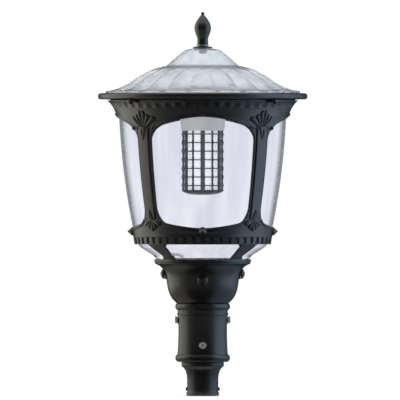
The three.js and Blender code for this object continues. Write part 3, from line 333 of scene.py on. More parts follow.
# The dome: moulded thick and finely frosted, with painted shade in a greyer band at its step and where it
# turns edge on
FROSTED_POLYCARBONATE = ClearMoulding("frosted_moulded_polycarbonate", "#F8FBFE", "#EAF0F5", 1.2, 0.17, 22,
                                      edge=(0.9, 1.0), band=(785.0, 792.0, 3.0), band_shade_tint="#CCD1D5",
                                      clear=0.86)


@dataclass
class Skin:
    """One closed skin: its corners in millimetres and its faces, which turn outwards."""

    corners: np.ndarray
    faces: list[list[int]]


def place(radius: np.ndarray, azimuth: np.ndarray, height: np.ndarray) -> np.ndarray:
    """Points from a radius, an azimuth in degrees and a height: x = r sin a, y = -r cos a, z = height.

    Args:
        radius: Distances from the axis.
        azimuth: Angles from the front towards +X.
        height: Heights.

    Returns:
        The points, with a last axis of three.
    """
    radius, turn, height = np.broadcast_arrays(radius, np.radians(azimuth), height)
    return np.stack([radius * np.sin(turn), -radius * np.cos(turn), height], axis=-1)


def quads(rows: int, columns: int, wrap_rows: bool = False, wrap_columns: bool = False) -> np.ndarray:
    """The faces of a grid of corners: each cell takes its four corners in turn, and a wrap joins the ends.

    Args:
        rows: Rows of corners.
        columns: Corners in a row.
        wrap_rows: Whether the last row joins the first.
        wrap_columns: Whether the last column joins the first.

    Returns:
        Four corner numbers for each face.
    """
    index = np.arange(rows * columns).reshape(rows, columns)
    if wrap_rows:
        index = np.vstack([index, index[:1]])
    if wrap_columns:
        index = np.hstack([index, index[:, :1]])
    cells = [index[:-1, :-1], index[1:, :-1], index[1:, 1:], index[:-1, 1:]]
    return np.stack(cells, axis=-1).reshape(-1, 4)


def sealed(corners: np.ndarray, groups: list[np.ndarray]) -> Skin:
    """Closes a skin: corners at one place become one, collapsed faces go, and the rest turn outwards.

    A quad with one side of no length becomes a triangle. The skin's volume is a sixth of the sum, over
    fans of triangles, of a . (b x c), and where it is negative every face is turned round.

    Args:
        corners: All corners, in millimetres.
        groups: Arrays of faces, all faces of an array having the same count of corners.

    Returns:
        The closed skin.
    """
    corners = corners.reshape(-1, 3)
    _, first, which = np.unique(
        np.round(corners / JOIN).astype(np.int64), axis=0, return_index=True, return_inverse=True,
    )
    corners = corners[first]
    which = which.reshape(-1)
    kept = []
    for group in groups:
        group = which[group]
        same = group == np.roll(group, -1, axis=1)
        count = same.sum(axis=1)
        kept.append(group[count == 0])
        if group.shape[1] == 4:
            pinched = group[count == 1]
            start = same[count == 1].argmax(axis=1) + 1
            order = (start[:, None] + np.arange(3)) % 4
            kept.append(np.take_along_axis(pinched, order, axis=1))
    kept = [group for group in kept if len(group)]
    volume = 0.0
    for group in kept:
        for i in range(1, group.shape[1] - 1):
            a, b, c = (corners[group[:, k]] for k in (0, i, i + 1))
            volume += float((a * np.cross(b, c)).sum())
    if volume < 0:
        kept = [group[:, ::-1] for group in kept]
    return Skin(corners, [face for group in kept for face in group.tolist()])


def ringed(section: np.ndarray, azimuths: np.ndarray) -> Skin:
    """A ring: a closed [radius, height] section, which may change with the azimuth, carried all round.

    Args:
        section: The section's points, with a leading axis for the azimuths where it changes.
        azimuths: The azimuths in turn, without the first one again.

    Returns:
        The ring's skin.
    """
    section = np.broadcast_to(section, (len(azimuths),) + section.shape[-2:])
    points = place(section[..., 0], azimuths[:, None], section[..., 1])
    return sealed(points, [quads(len(azimuths), section.shape[-2], True, True)])


def stacked(rings: np.ndarray) -> Skin:
    """Rings of points side by side, joined into a wall, with the first and the last ring capped flat.

    Args:
        rings: The points: rings by points on a ring by three.

    Returns:
        The closed skin.
    """
    count = rings.shape[1]
    last = (len(rings) - 1) * count + np.arange(count)
    wall = quads(len(rings), count, wrap_columns=True)
    return sealed(rings, [wall, np.arange(count)[None, :], last[None, ::-1]])


def turned(outline: np.ndarray, steps: int = 96) -> Skin:
    """A turned piece: a closed outline of [radius, height], or one that ends on the axis, spun round."""
    return ringed(np.asarray(outline, float), np.arange(steps) * FULL_TURN / steps)


def slab(front: np.ndarray, back: np.ndarray) -> Skin:
    """A slab between two grids of points of one size, closed by a wall round their four edges.

    Args:
        front: The front grid, rows by columns by three.
        back: The back grid of the same size.

    Returns:
        The slab's skin.
    """
    rows, columns = front.shape[:2]
    size = rows * columns
    index = np.arange(size).reshape(rows, columns)
    edge = np.concatenate([index[0, :-1], index[:-1, -1], index[-1, :0:-1], index[:0:-1, 0]])
    after = np.roll(edge, -1)
    sides = np.stack([edge, after, after + size, edge + size], axis=-1)
    face = quads(rows, columns)
    both = np.concatenate([front.reshape(-1, 3), back.reshape(-1, 3)])
    return sealed(both, [np.vstack([face, face[:, ::-1] + size, sides])])


def filleted(outline: np.ndarray, radius: float | list[float], steps: int = 4) -> np.ndarray:
    """Rounds the corners of closed outlines.

    Each corner is cut back by its radius, or by less than half of its shorter side, and a parabola with
    the corner as its control point joins the two ends: (1-t)^2 a + 2t(1-t) corner + t^2 b.

    Args:
        outline: Points, their last two axes being corners and coordinates.
        radius: One radius, or one for each corner.
        steps: Points on each rounding.

    Returns:
        The rounded outlines.
    """
    corners = np.asarray(outline, float)
    before = np.roll(corners, 1, axis=-2) - corners
    after = np.roll(corners, -1, axis=-2) - corners
    length_before = np.maximum(np.linalg.norm(before, axis=-1, keepdims=True), JOIN / 10)
    length_after = np.maximum(np.linalg.norm(after, axis=-1, keepdims=True), JOIN / 10)
    wanted = np.broadcast_to(np.asarray(radius, float), corners.shape[-2:-1])[:, None]
    reach = np.minimum(wanted, 0.48 * np.minimum(length_before, length_after))
    start = (corners + before / length_before * reach)[..., None, :]
    end = (corners + after / length_after * reach)[..., None, :]
    t = np.linspace(0, 1, steps)[:, None]
    curve = (1 - t) ** 2 * start + 2 * t * (1 - t) * corners[..., None, :] + t ** 2 * end
    return curve.reshape(corners.shape[:-2] + (-1, corners.shape[-1]))


def flowing(points: np.ndarray, steps: int = 6) -> np.ndarray:
    """A smooth line through points: each span is a Catmull-Rom cubic of its ends and their neighbours.

    Args:
        points: The points to pass through, in any number of dimensions.
        steps: Points on each span.

    Returns:
        The line's points.
    """
    p = np.asarray(points, float)
    start = np.concatenate([[2 * p[0] - p[1]], p[:-2]])
    a, b = p[:-1], p[1:]
    end = np.concatenate([p[2:], [2 * p[-1] - p[-2]]])
    t = np.linspace(0, 1, steps, endpoint=False)[:, None, None]
    spans = 0.5 * (2 * a + (b - start) * t + (2 * start - 5 * a + 4 * b - end) * t ** 2
                   + (3 * a - start - 3 * b + end) * t ** 3)
    return np.concatenate([spans.swapaxes(0, 1).reshape(-1, p.shape[1]), p[-1:]])


def facing(skin: Skin, azimuth: float, radius: float, height: float) -> Skin:
    """Lays a skin built along +Z on its side, so that its +Z looks outwards at an azimuth.

    Args:
        skin: The skin, its seat at the origin.
        azimuth: Where it looks.
        radius: Where its seat is, out from the axis.
        height: Its height.

    Returns:
        The skin in its place.
    """
    across, up, out = skin.corners.T
    turn = math.radians(azimuth)
    reach = radius + out
    points = np.stack([
        reach * math.sin(turn) + across * math.cos(turn),
        -reach * math.cos(turn) + across * math.sin(turn),
        height + up,
    ], axis=-1)
    return Skin(points, skin.faces)


def moved(skin: Skin, x: float = 0.0, y: float = 0.0, z: float = 0.0) -> Skin:
    """The skin shifted by x, y and z."""
    return Skin(skin.corners + np.array([x, y, z]), skin.faces)


def upside_down(skin: Skin) -> Skin:
    """The skin turned half round its own X axis, so that what pointed up points down."""
    return Skin(skin.corners * np.array([1.0, -1.0, -1.0]), skin.faces)


def prism(outline: np.ndarray, depth: float, chamfer: float) -> Skin:
    """A flat outline in the YZ plane carried along X, centred, with its two rims chamfered.

    The rims are the outline moved inwards by the chamfer along the mean normal of the two sides at each
    corner, which is found by turning the sides' directions by a right angle.

    Args:
        outline: The outline's [y, z] points.
        depth: The whole depth along X.
        chamfer: The rims' chamfer.

    Returns:
        The prism's skin.
    """
    line = np.asarray(outline, float)
    side = np.roll(line, -1, axis=0) - line
    side /= np.maximum(np.linalg.norm(side, axis=1, keepdims=True), JOIN / 10)
    mean = side + np.roll(side, 1, axis=0)
    mean /= np.maximum(np.linalg.norm(mean, axis=1, keepdims=True), JOIN / 10)
    area = float(np.cross(line, np.roll(line, -1, axis=0)).sum())
    inward = np.stack([-mean[:, 1], mean[:, 0]], axis=1) * (1 if area > 0 else -1)
    drawn_in = line + inward * chamfer
    half = depth / 2
    rings = [(-half, drawn_in), (-half + chamfer, line), (half - chamfer, line), (half, drawn_in)]
    return stacked(np.stack([np.column_stack([np.full(len(ring), x), ring]) for x, ring in rings]))


def tube(route: np.ndarray, radius: float, sides: int = 20) -> Skin:
    """A round tube along a route: rings of points square to the route, capped flat.

    The rings' axes come from the route's direction and its bend plane, which is taken as one upright
    plane, so the rings don't twist.

    Args:
        route: The route's points, all in one upright plane.
        radius: The tube's radius.
        sides: Points on each ring.

    Returns:
        The tube's skin.
    """
    along = np.gradient(route, axis=0)
    along /= np.linalg.norm(along, axis=1, keepdims=True)
    span = route[-1] - route[0] + route[len(route) // 2] - route[0]
    level = np.array([span[1], -span[0], 0.0])
    level /= np.linalg.norm(level)
    other = np.cross(along, level)
    turn = np.linspace(0, 2 * math.pi, sides, endpoint=False)[None, :, None]
    return stacked(route[:, None] + radius * (np.cos(turn) * level + np.sin(turn) * other[:, None]))


def span_of(node: str) -> tuple[float, float]:
    """The lowest and the highest point of a CAD node, in millimetres."""
    low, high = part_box(node)
    return low.z / MM, high.z / MM


def reach_of(node: str) -> float:
    """How far a round CAD node reaches from the axis, in millimetres."""
    low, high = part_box(node)
    return max(-low.x, high.x, -low.y, high.y) / MM


def make_piece(name: str, skins: list[Skin], finish: Dressing = POWDER_COAT, slot: Slot = Slot.BLACK,
               body: str = Body.LANTERN.value, replaces: str = "", crease: float = 32.0,
               cutters: tuple[Skin, ...] = ()) -> bpy.types.Object:
    """Makes one object of the scene from its skins, dresses it and hangs it on its body.

    Args:
        name: The piece's name.
        skins: Its closed skins.
        finish: Its finish.
        slot: The record's slot that it takes its finish from. Not used.
        body: The CAD body that it rides on.
        replaces: The CAD node that it stands for, if any.
        crease: Edges that turn by more than this many degrees stay sharp.
        cutters: Skins of holes that are cut from the piece.

    Returns:
        The finished object.
    """
    made = mesh_object(name, skins)
    if cutters:
        drill(made, cutters)
    mesh = made.data
    mesh.polygons.foreach_set("use_smooth", np.ones(len(mesh.polygons), dtype=bool))
    mesh.set_sharp_from_angle(angle=math.radians(crease))
    mesh.materials.clear()
    mesh.materials.append(finish.material())
    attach(made, body)
    if replaces:
        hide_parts(replaces)
    LOG.info("%s: %d faces, %s, on %s", name, len(mesh.polygons), finish.name, body)
    return made


def mesh_object(name: str, skins: list[Skin]) -> bpy.types.Object:
    """A bare object in metres from closed skins, each skin's face numbers moved up past the last one's.

    Args:
        name: The name of object and mesh.
        skins: The skins, in millimetres.

    Returns:
        The object, in the scene and without material.
    """
    starts = np.cumsum([0] + [len(skin.corners) for skin in skins])
    corners = np.concatenate([skin.corners for skin in skins]) * MM
    faces = [[corner + int(start) for corner in face]
             for skin, start in zip(skins, starts) for face in skin.faces]
    mesh = bpy.data.meshes.new(name)
    mesh.from_pydata(corners.tolist(), [], faces)
    mesh.validate()
    made = bpy.data.objects.new(name, mesh)
    bpy.context.scene.collection.objects.link(made)
    return made


def drill(piece: bpy.types.Object, cutters: tuple[Skin, ...]) -> None:
    """Cuts holes in a piece with an exact boolean, and keeps the result as its mesh.

    Args:
        piece: The object to drill.
        cutters: The holes as closed skins, clear of each other.
    """
    drills = mesh_object(piece.name + "_drills", list(cutters))
    cut = piece.modifiers.new("holes", "BOOLEAN")
    cut.operation = "DIFFERENCE"
    cut.solver = "EXACT"
    cut.object = drills
    bpy.context.view_layer.update()
    depsgraph = bpy.context.evaluated_depsgraph_get()
    mesh = bpy.data.meshes.new_from_object(piece.evaluated_get(depsgraph))
    piece.modifiers.clear()
    piece.data = mesh
    bpy.data.objects.remove(drills)


@dataclass(frozen=True)
class Screw:
    """A screw along Z, its head above zero and its shank below, with a hexagon socket where it has one."""

    shank: float
    length: float
    head: float
    head_height: float
    rounding: float
    socket: float = 0.0
    button: bool = False

    def skin(self) -> Skin:
        """The screw's skin, head and shank in one.

        A socket's wall keeps to a hexagon: its radius is the flat's distance over the cosine of the angle
        from the nearest flat's middle.

        Returns:
            The skin, its seat at the origin.
        """
        steps = 72
        azimuths = np.arange(steps) * FULL_TURN / steps
        top = self.head_height
        if self.button:
            sweep = np.linspace(0, math.pi / 2, 9)
            crown = np.stack([self.head * np.cos(sweep) ** 0.8, top * (0.25 + 0.75 * np.sin(sweep))], axis=1)
            head = np.concatenate([[[self.head * 0.97, 0.0]], crown[crown[:, 0] > self.socket * 1.4]])
        else:
            head = filleted([[self.shank, 0.0], [self.head, 0.0], [self.head, top], [0.0, top]],
                            [0, 0.3, self.rounding, 0])[4:-4]
        outline = np.concatenate([
            [[0.0, -self.length], [self.shank * 0.85, -self.length],
             [self.shank, -self.length + self.shank * 0.2], [self.shank, 0.0]], head,
        ])
        section = np.broadcast_to(outline, (steps,) + outline.shape).copy()
        if self.socket > 0:
            wall = hexagon(self.socket, azimuths)
            level = outline[-1, 1]
            depth = level - 0.55 * self.head_height
            inner = sections([(wall * 1.06, level), (wall, level - 0.3), (wall, depth), (0.0, depth - 0.8)],
                             steps)
        else:
            inner = sections([(0.0, top)], steps)
        return ringed(np.concatenate([section, inner], axis=1), azimuths)


def hexagon(flat: float, azimuths: np.ndarray) -> np.ndarray:
    """A hexagon's radius: its flat's distance over the cosine of the angle from the nearest flat's middle."""
    return flat / np.cos(np.radians((azimuths + SIXTH / 2) % SIXTH - SIXTH / 2))


def sections(rows: list[tuple], count: int) -> np.ndarray:
    """Sections for a ring: each row is a radius, or one for each azimuth, and a height in the same way."""
    pairs = [np.broadcast_arrays(radius, height, np.zeros(count))[:2] for radius, height in rows]
    return np.stack([np.stack(pair, axis=-1) for pair in pairs], axis=1)


def pan_screw(length: float) -> Screw:
    """One of the small pan head screws inside, with a shank of this length."""
    return Screw(2.5, length, PAN_RADIUS, PAN_HEIGHT, 1.0, socket=1.4)


def rod(radius: float, start: float, end: float, steps: int = 48) -> Skin:
    """A plain rod along Z from start to end, for the holes that are cut."""
    return band(0.0, radius, start, end, 0.0, steps)


def band(inner: float, outer: float, base: float, top: float, rounding: float | list[float],
         steps: int = 120, fine: int = 4) -> Skin:
    """A turned ring or disc of a rectangular section with rounded edges.

    Args:
        inner: Its bore, or nought for a disc.
        outer: Its outer radius.
        base: Its lower face.
        top: Its upper face.
        rounding: The radius of its edges, or one for each edge from the lower inner one outwards.
        steps: Steps all round.
        fine: Points on each rounding.

    Returns:
        The ring's skin.
    """
    outline = [[inner, base], [outer, base], [outer, top], [inner, top]]
    return turned(filleted(outline, rounding, fine) if rounding else outline, steps)


@dataclass(frozen=True)
class Arch:
    """The edge of an arched window, from its crown to the post."""

    crown: float
    spring: float
    bow: float
    power: float
    corner: float
    start: float

    def full(self, share: np.ndarray) -> np.ndarray:
        """The edge's height, its corner run out to the post's straight side.

        From the crown the edge moves by the bow times the share to a power. From the start share on, a
        quarter of an ellipse as tall as the corner is added: 1 - sqrt(1 - t^2), with t from 0 to 1.

        Args:
            share: Shares of the window's half angle.

        Returns:
            Heights.
        """
        turn = np.clip((share - self.start) / (1 - self.start), 0, 1)
        way = math.copysign(1.0, self.spring - self.crown)
        run = self.bow * np.minimum(share, 1) ** self.power + self.corner * (1 - np.sqrt(1 - turn ** 2))
        return self.crown + way * run

    def edge(self, share: np.ndarray) -> np.ndarray:
        """The edge's height on the ring, which goes no further than the springing."""
        full = self.full(share)
        return np.minimum(full, self.spring) if self.spring > self.crown else np.maximum(full, self.spring)


@dataclass(frozen=True)
class Globe:
    """The slightly barrelled cone that panes, posts and rings follow, and the windows' arches on it."""

    base: float
    top: float
    base_radius: float = 166.3
    top_radius: float = 200.8
    bulge: float = 0.67
    proud: float = 2.7
    window_half: float = 38.4
    post_half: float = 6.6
    lower_arch: Arch = Arch(402.5, 425.0, 17.0, 1.6, 36.0, 0.78)
    upper_arch: Arch = Arch(668.4, 640.0, 28.0, 1.7, 27.0, 0.72)

    def radius(self, height: np.ndarray) -> np.ndarray:
        """The panes' outer radius: a straight run from base to top, plus a bulge times a(1 - a)."""
        along = (np.asarray(height, float) - self.base) / (self.top - self.base)
        run = along + self.bulge * along * (1 - along)
        return self.base_radius + (self.top_radius - self.base_radius) * run

    def frame(self, height: np.ndarray) -> np.ndarray:
        """The outer radius of posts and rings, which stand proud of the panes."""
        return self.radius(height) + self.proud

    def window_share(self, azimuth: np.ndarray) -> np.ndarray:
        """How far an azimuth is from the middle of its window, as a share of the window's half angle."""
        within = (np.asarray(azimuth, float) + 45.0) % 90.0 - 45.0
        return np.abs(within) / self.window_half

    def post_spread(self, height: np.ndarray) -> np.ndarray:
        """A post's half angle at a height: where an arch's corner runs on below its ring, the post fills it.

        Args:
            height: Heights along the post.

        Returns:
            Half angles in degrees.
        """
        share = np.linspace(0.5, 1, 200)
        low = np.interp(height, self.lower_arch.full(share), share)
        high = np.interp(-height, -self.upper_arch.full(share), share)
        return np.maximum(45.0 - self.window_half * np.minimum(low, high), self.post_half)


def window_azimuths(globe: Globe, fine: int, extra: int = 10) -> np.ndarray:
    """Azimuths all round, evenly spaced, with more of them where the arches' corners turn.

    Args:
        globe: The cone, which knows the windows' half angle.
        fine: Even steps all round.
        extra: Added stations at each corner, closing in on the post's edge.

    Returns:
        Sorted azimuths from 0 up to a full turn.
    """
    even = np.arange(fine) * FULL_TURN / fine
    closing = globe.window_half * (1 - 0.07 * np.linspace(0, 1, extra) ** 2)
    corners = np.concatenate([CROSS + side * a for a in closing for side in (-1, 1)]) % FULL_TURN
    return np.unique(np.round(np.concatenate([even, corners]), 3))


@dataclass
class PoleAdapter:
    """The turned adapter over the pole's end, its spigot inside the neck, and three set screws."""

    socket_radius: float = 30.75
    sleeve_radius: float = 37.4
    sleeve_height: float = 70.8
    flare_height: float = 30.0
    foot_step: float = 1.8
    foot_height: float = 8.4
    collar_radius: float = 50.9
    collar_top: float = 81.6
    spigot_radius: float = 47.2
    spigot_bore: float = 39.0
    shelf_height: float = 74.0
    shelf_thickness: float = 8.0
    cable_hole: float = 22.0
    screw_height: float = 16.8
    screw_radius: float = 4.0
    screw_azimuths: tuple[float, ...] = (0.0, 90.0, 270.0)

    def outline(self) -> np.ndarray:
        """The adapter's section: a foot ring, a sleeve, a cove out to the collar, and the spigot."""
        top = span_of("pole_adapter")[1]
        shares = flowing(np.array([[0, 0], [0.05, 0.25], [0.16, 0.5], [0.29, 0.67], [0.5, 0.83],
                                   [0.79, 0.97]]), 5)
        flare = np.stack([
            self.sleeve_radius + (self.collar_radius - self.sleeve_radius) * shares[:, 0],
            self.sleeve_height - self.flare_height + self.flare_height * shares[:, 1],
        ], axis=1)
        foot = filleted([
            [self.socket_radius, 0], [self.sleeve_radius + self.foot_step, 0],
            [self.sleeve_radius + self.foot_step, self.foot_height],
            [self.sleeve_radius, self.foot_height + self.foot_step],
            [self.sleeve_radius, self.foot_height + 3 * self.foot_step],
        ], [1, 1.6, 1.6, 1.5, 0])[:-4]
        shoulder = self.collar_top
        upper = filleted([
            [self.sleeve_radius, self.sleeve_height], [self.collar_radius, self.sleeve_height],
            [self.collar_radius, shoulder], [self.spigot_radius, shoulder], [self.spigot_radius, top],
            [self.spigot_bore, top], [self.spigot_bore, self.shelf_height + self.shelf_thickness],
            [self.cable_hole, self.shelf_height + self.shelf_thickness],
            [self.cable_hole, self.shelf_height], [self.socket_radius, self.shelf_height],
            [self.socket_radius, 0],
        ], [0, 2.4, 1.6, 0.4, 2, 1, 2, 1, 1, 1, 0])[4:-4]
        return np.concatenate([foot, flare, upper])

    def build(self) -> None:
        """Makes the adapter with its three holes, and the set screws on their own bodies."""
        hole = rod(self.screw_radius + GAP, -3 * self.screw_radius, 3 * self.screw_radius)
        holes = tuple(facing(hole, a, self.sleeve_radius, self.screw_height) for a in self.screw_azimuths)
        make_piece("pole_adapter_turning", [turned(self.outline(), 128)], SATIN_COAT, Slot.ADAPTER,
                   replaces="pole_adapter", cutters=holes)
        screw = Screw(self.screw_radius, self.sleeve_radius - self.socket_radius, self.screw_radius, 3.5,
                      0.8, socket=1.9)
        for i, azimuth in enumerate(self.screw_azimuths):
            name = f"adapter_screw_{i + 1}"
            skin = facing(screw.skin(), azimuth, self.sleeve_radius, self.screw_height)
            make_piece(f"set_screw_{i + 1}", [skin], BLACK_OXIDE, Slot.BLACK_STEEL, name, name)


@dataclass
class Fitter:
    """The cast clamping neck and bell, its clamp screws, and the mushroom headed bolts into the skirt."""

    neck_base: float = 81.9
    neck_top: float = 223.2
    neck_bore: float = 47.5
    bell_bore: float = 81.04
    bell_wall: float = 5.6
    lip_radius: float = 115.0
    skirt_foot: float = 266.7
    skirt_bore: float = 74.34
    clamp_radius: float = 5.0
    clamp_head: float = 8.0
    clamp_head_height: float = 6.25
    clamp_pad: float = 11.0
    clamp_heights: tuple[float, ...] = (121.7, 182.9, 121.7, 182.9)
    bolt_radius: float = 5.0
    bolt_head: float = 12.5
    bolt_head_height: float = 10.5
    plug_radius: float = 5.0
    bolt_heights: tuple[float, ...] = (277.7, 293.7, 277.7, 293.7)

    def bead(self, base: float, top: float, root: float, radius: float) -> np.ndarray:
        """A half round bead: its line runs as half an ellipse from base to top, out to its radius."""
        sweep = np.linspace(-math.pi / 2, math.pi / 2, 11)
        middle, half = (base + top) / 2, (top - base) / 2
        return np.stack([root + (radius - root) * np.cos(sweep), middle + half * np.sin(sweep)], axis=1)

    def outline(self, top: float) -> np.ndarray:
        """The casting's section: foot bead, waisted neck, two beads, bell and coved lip, then the bores.

        Args:
            top: The lip's upper face.

        Returns:
            Points of radius and height.
        """
        neck = flowing(np.array([
            [60.7, 100.4], [60.0, 106.0], [59.3, 116.0], [58.7, 130.0], [58.2, 148.0], [58.2, 164.0],
            [58.6, 178.0], [59.4, 190.0],
        ]), 4)
        bell = flowing(np.array([
            [63.8, 223.0], [65.0, 225.0], [67.4, 227.6], [70.6, 230.6], [74.0, 234.8], [77.2, 240.0],
            [80.8, 248.0], [83.4, 257.0], [85.2, 266.4], [86.5, 276.0], [87.9, 285.0], [89.9, 293.6],
            [93.2, 301.2], [97.6, 307.2], [102.4, 311.4], [107.0, 314.2], [111.2, 316.0],
        ]), 5)
        rest = filleted([
            [111.2, 316.0], [self.lip_radius - 0.4, 317.4], [self.lip_radius, top], [self.bell_bore, top],
            [self.bell_bore, self.skirt_foot - GAP], [76.5, 252.6], [71.0, 237.9],
            [self.neck_bore, self.neck_top - self.bell_wall], [self.neck_bore, self.neck_base],
            [60.6, self.neck_base], [60.6, 83.6],
        ], [0, 2.0, 1.8, 1, 1, 8, 10, 3, 1.5, 0.8, 0])[4:-4]
        return np.concatenate([
            self.bead(83.6, 99.4, 60.6, 65.6), neck, self.bead(193.8, 199.8, 59.8, 61.6),
            self.bead(206.6, 222.8, 60.4, 65.8), bell, rest,
        ])

    def pad(self, radius: float, depth: float) -> Skin:
        """A round cast pad under a screw's head, its face just behind the seat."""
        return turned(filleted([[0, -depth], [radius, -depth], [radius, -GAP], [0, -GAP]],
                               [0, 0, 1.3, 0], 5), 72)

    def build(self) -> None:
        """Makes the casting with its pads and drilled holes, then the screws in it."""
        top = span_of("fitter")[1]
        seats = [reach_along(f"clamp_bolt_{i + 1}", azimuth) - self.clamp_head_height
                 for i, azimuth in enumerate(CROSS)]
        bolt_seats = [reach_along(f"frame_bolt_{i + 1}", azimuth) - self.bolt_head_height
                      for i, azimuth in enumerate(CROSS)]
        clamps = list(zip(CROSS, seats, self.clamp_heights))
        bolts = list(zip(CROSS, bolt_seats, self.bolt_heights))
        holes = [facing(rod(self.clamp_radius + GAP, -20, 12), *spot) for spot in clamps]
        holes += [facing(rod(self.bolt_radius + GAP, -20, 12), *spot) for spot in bolts]
        pads = [facing(self.pad(self.clamp_pad, 6), *spot) for spot in clamps]
        pads += [facing(self.pad(self.bolt_head + 0.8, 8), *spot) for spot in bolts]
        make_piece("fitter_casting", [turned(self.outline(top), 144)],
                   replaces="fitter", cutters=tuple(holes))
        make_piece("fitter_pads", pads, cutters=tuple(holes))
        for i, spot in enumerate(clamps):
            name = f"clamp_bolt_{i + 1}"
            screw = Screw(self.clamp_radius, seats[i] - self.neck_bore, self.clamp_head,
                          self.clamp_head_height, 1.1, socket=3.6)
            make_piece(f"clamp_screw_{i + 1}", [facing(screw.skin(), *spot)], STAINLESS_STEEL,
                       Slot.STAINLESS, name, name)
        for i, spot in enumerate(bolts):
            screw = Screw(self.bolt_radius, bolt_seats[i] - self.skirt_bore, self.bolt_head,
                          self.bolt_head_height - 1.4, 2.0, button=True)
            make_piece(f"mushroom_bolt_{i + 1}", [facing(screw.skin(), *spot)],
                       replaces=f"frame_bolt_{i + 1}")
            make_piece(f"bolt_plug_{i + 1}", [facing(self.plug(), *spot)], BLACK_OXIDE)

    def plug(self) -> Skin:
        """A bolt's plug: a short rod whose end is a quarter of an ellipse, spun."""
        sweep = np.linspace(0, math.pi / 2, 8)
        end = self.bolt_head_height - 2.4 + 2.3 * np.sin(sweep)
        foot = self.bolt_head_height - 6
        line = np.stack([self.plug_radius * np.cos(sweep), end], axis=1)
        return turned(np.concatenate([[[0, foot], [self.plug_radius, foot]], line]), 48)


def reach_along(node: str, azimuth: float) -> float:
    """How far a CAD node reaches outwards at one of the four straight azimuths, in millimetres."""
    low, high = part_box(node)
    return {0.0: -low.y, 90.0: high.x, 180.0: high.y, 270.0: -low.x}[azimuth] / MM


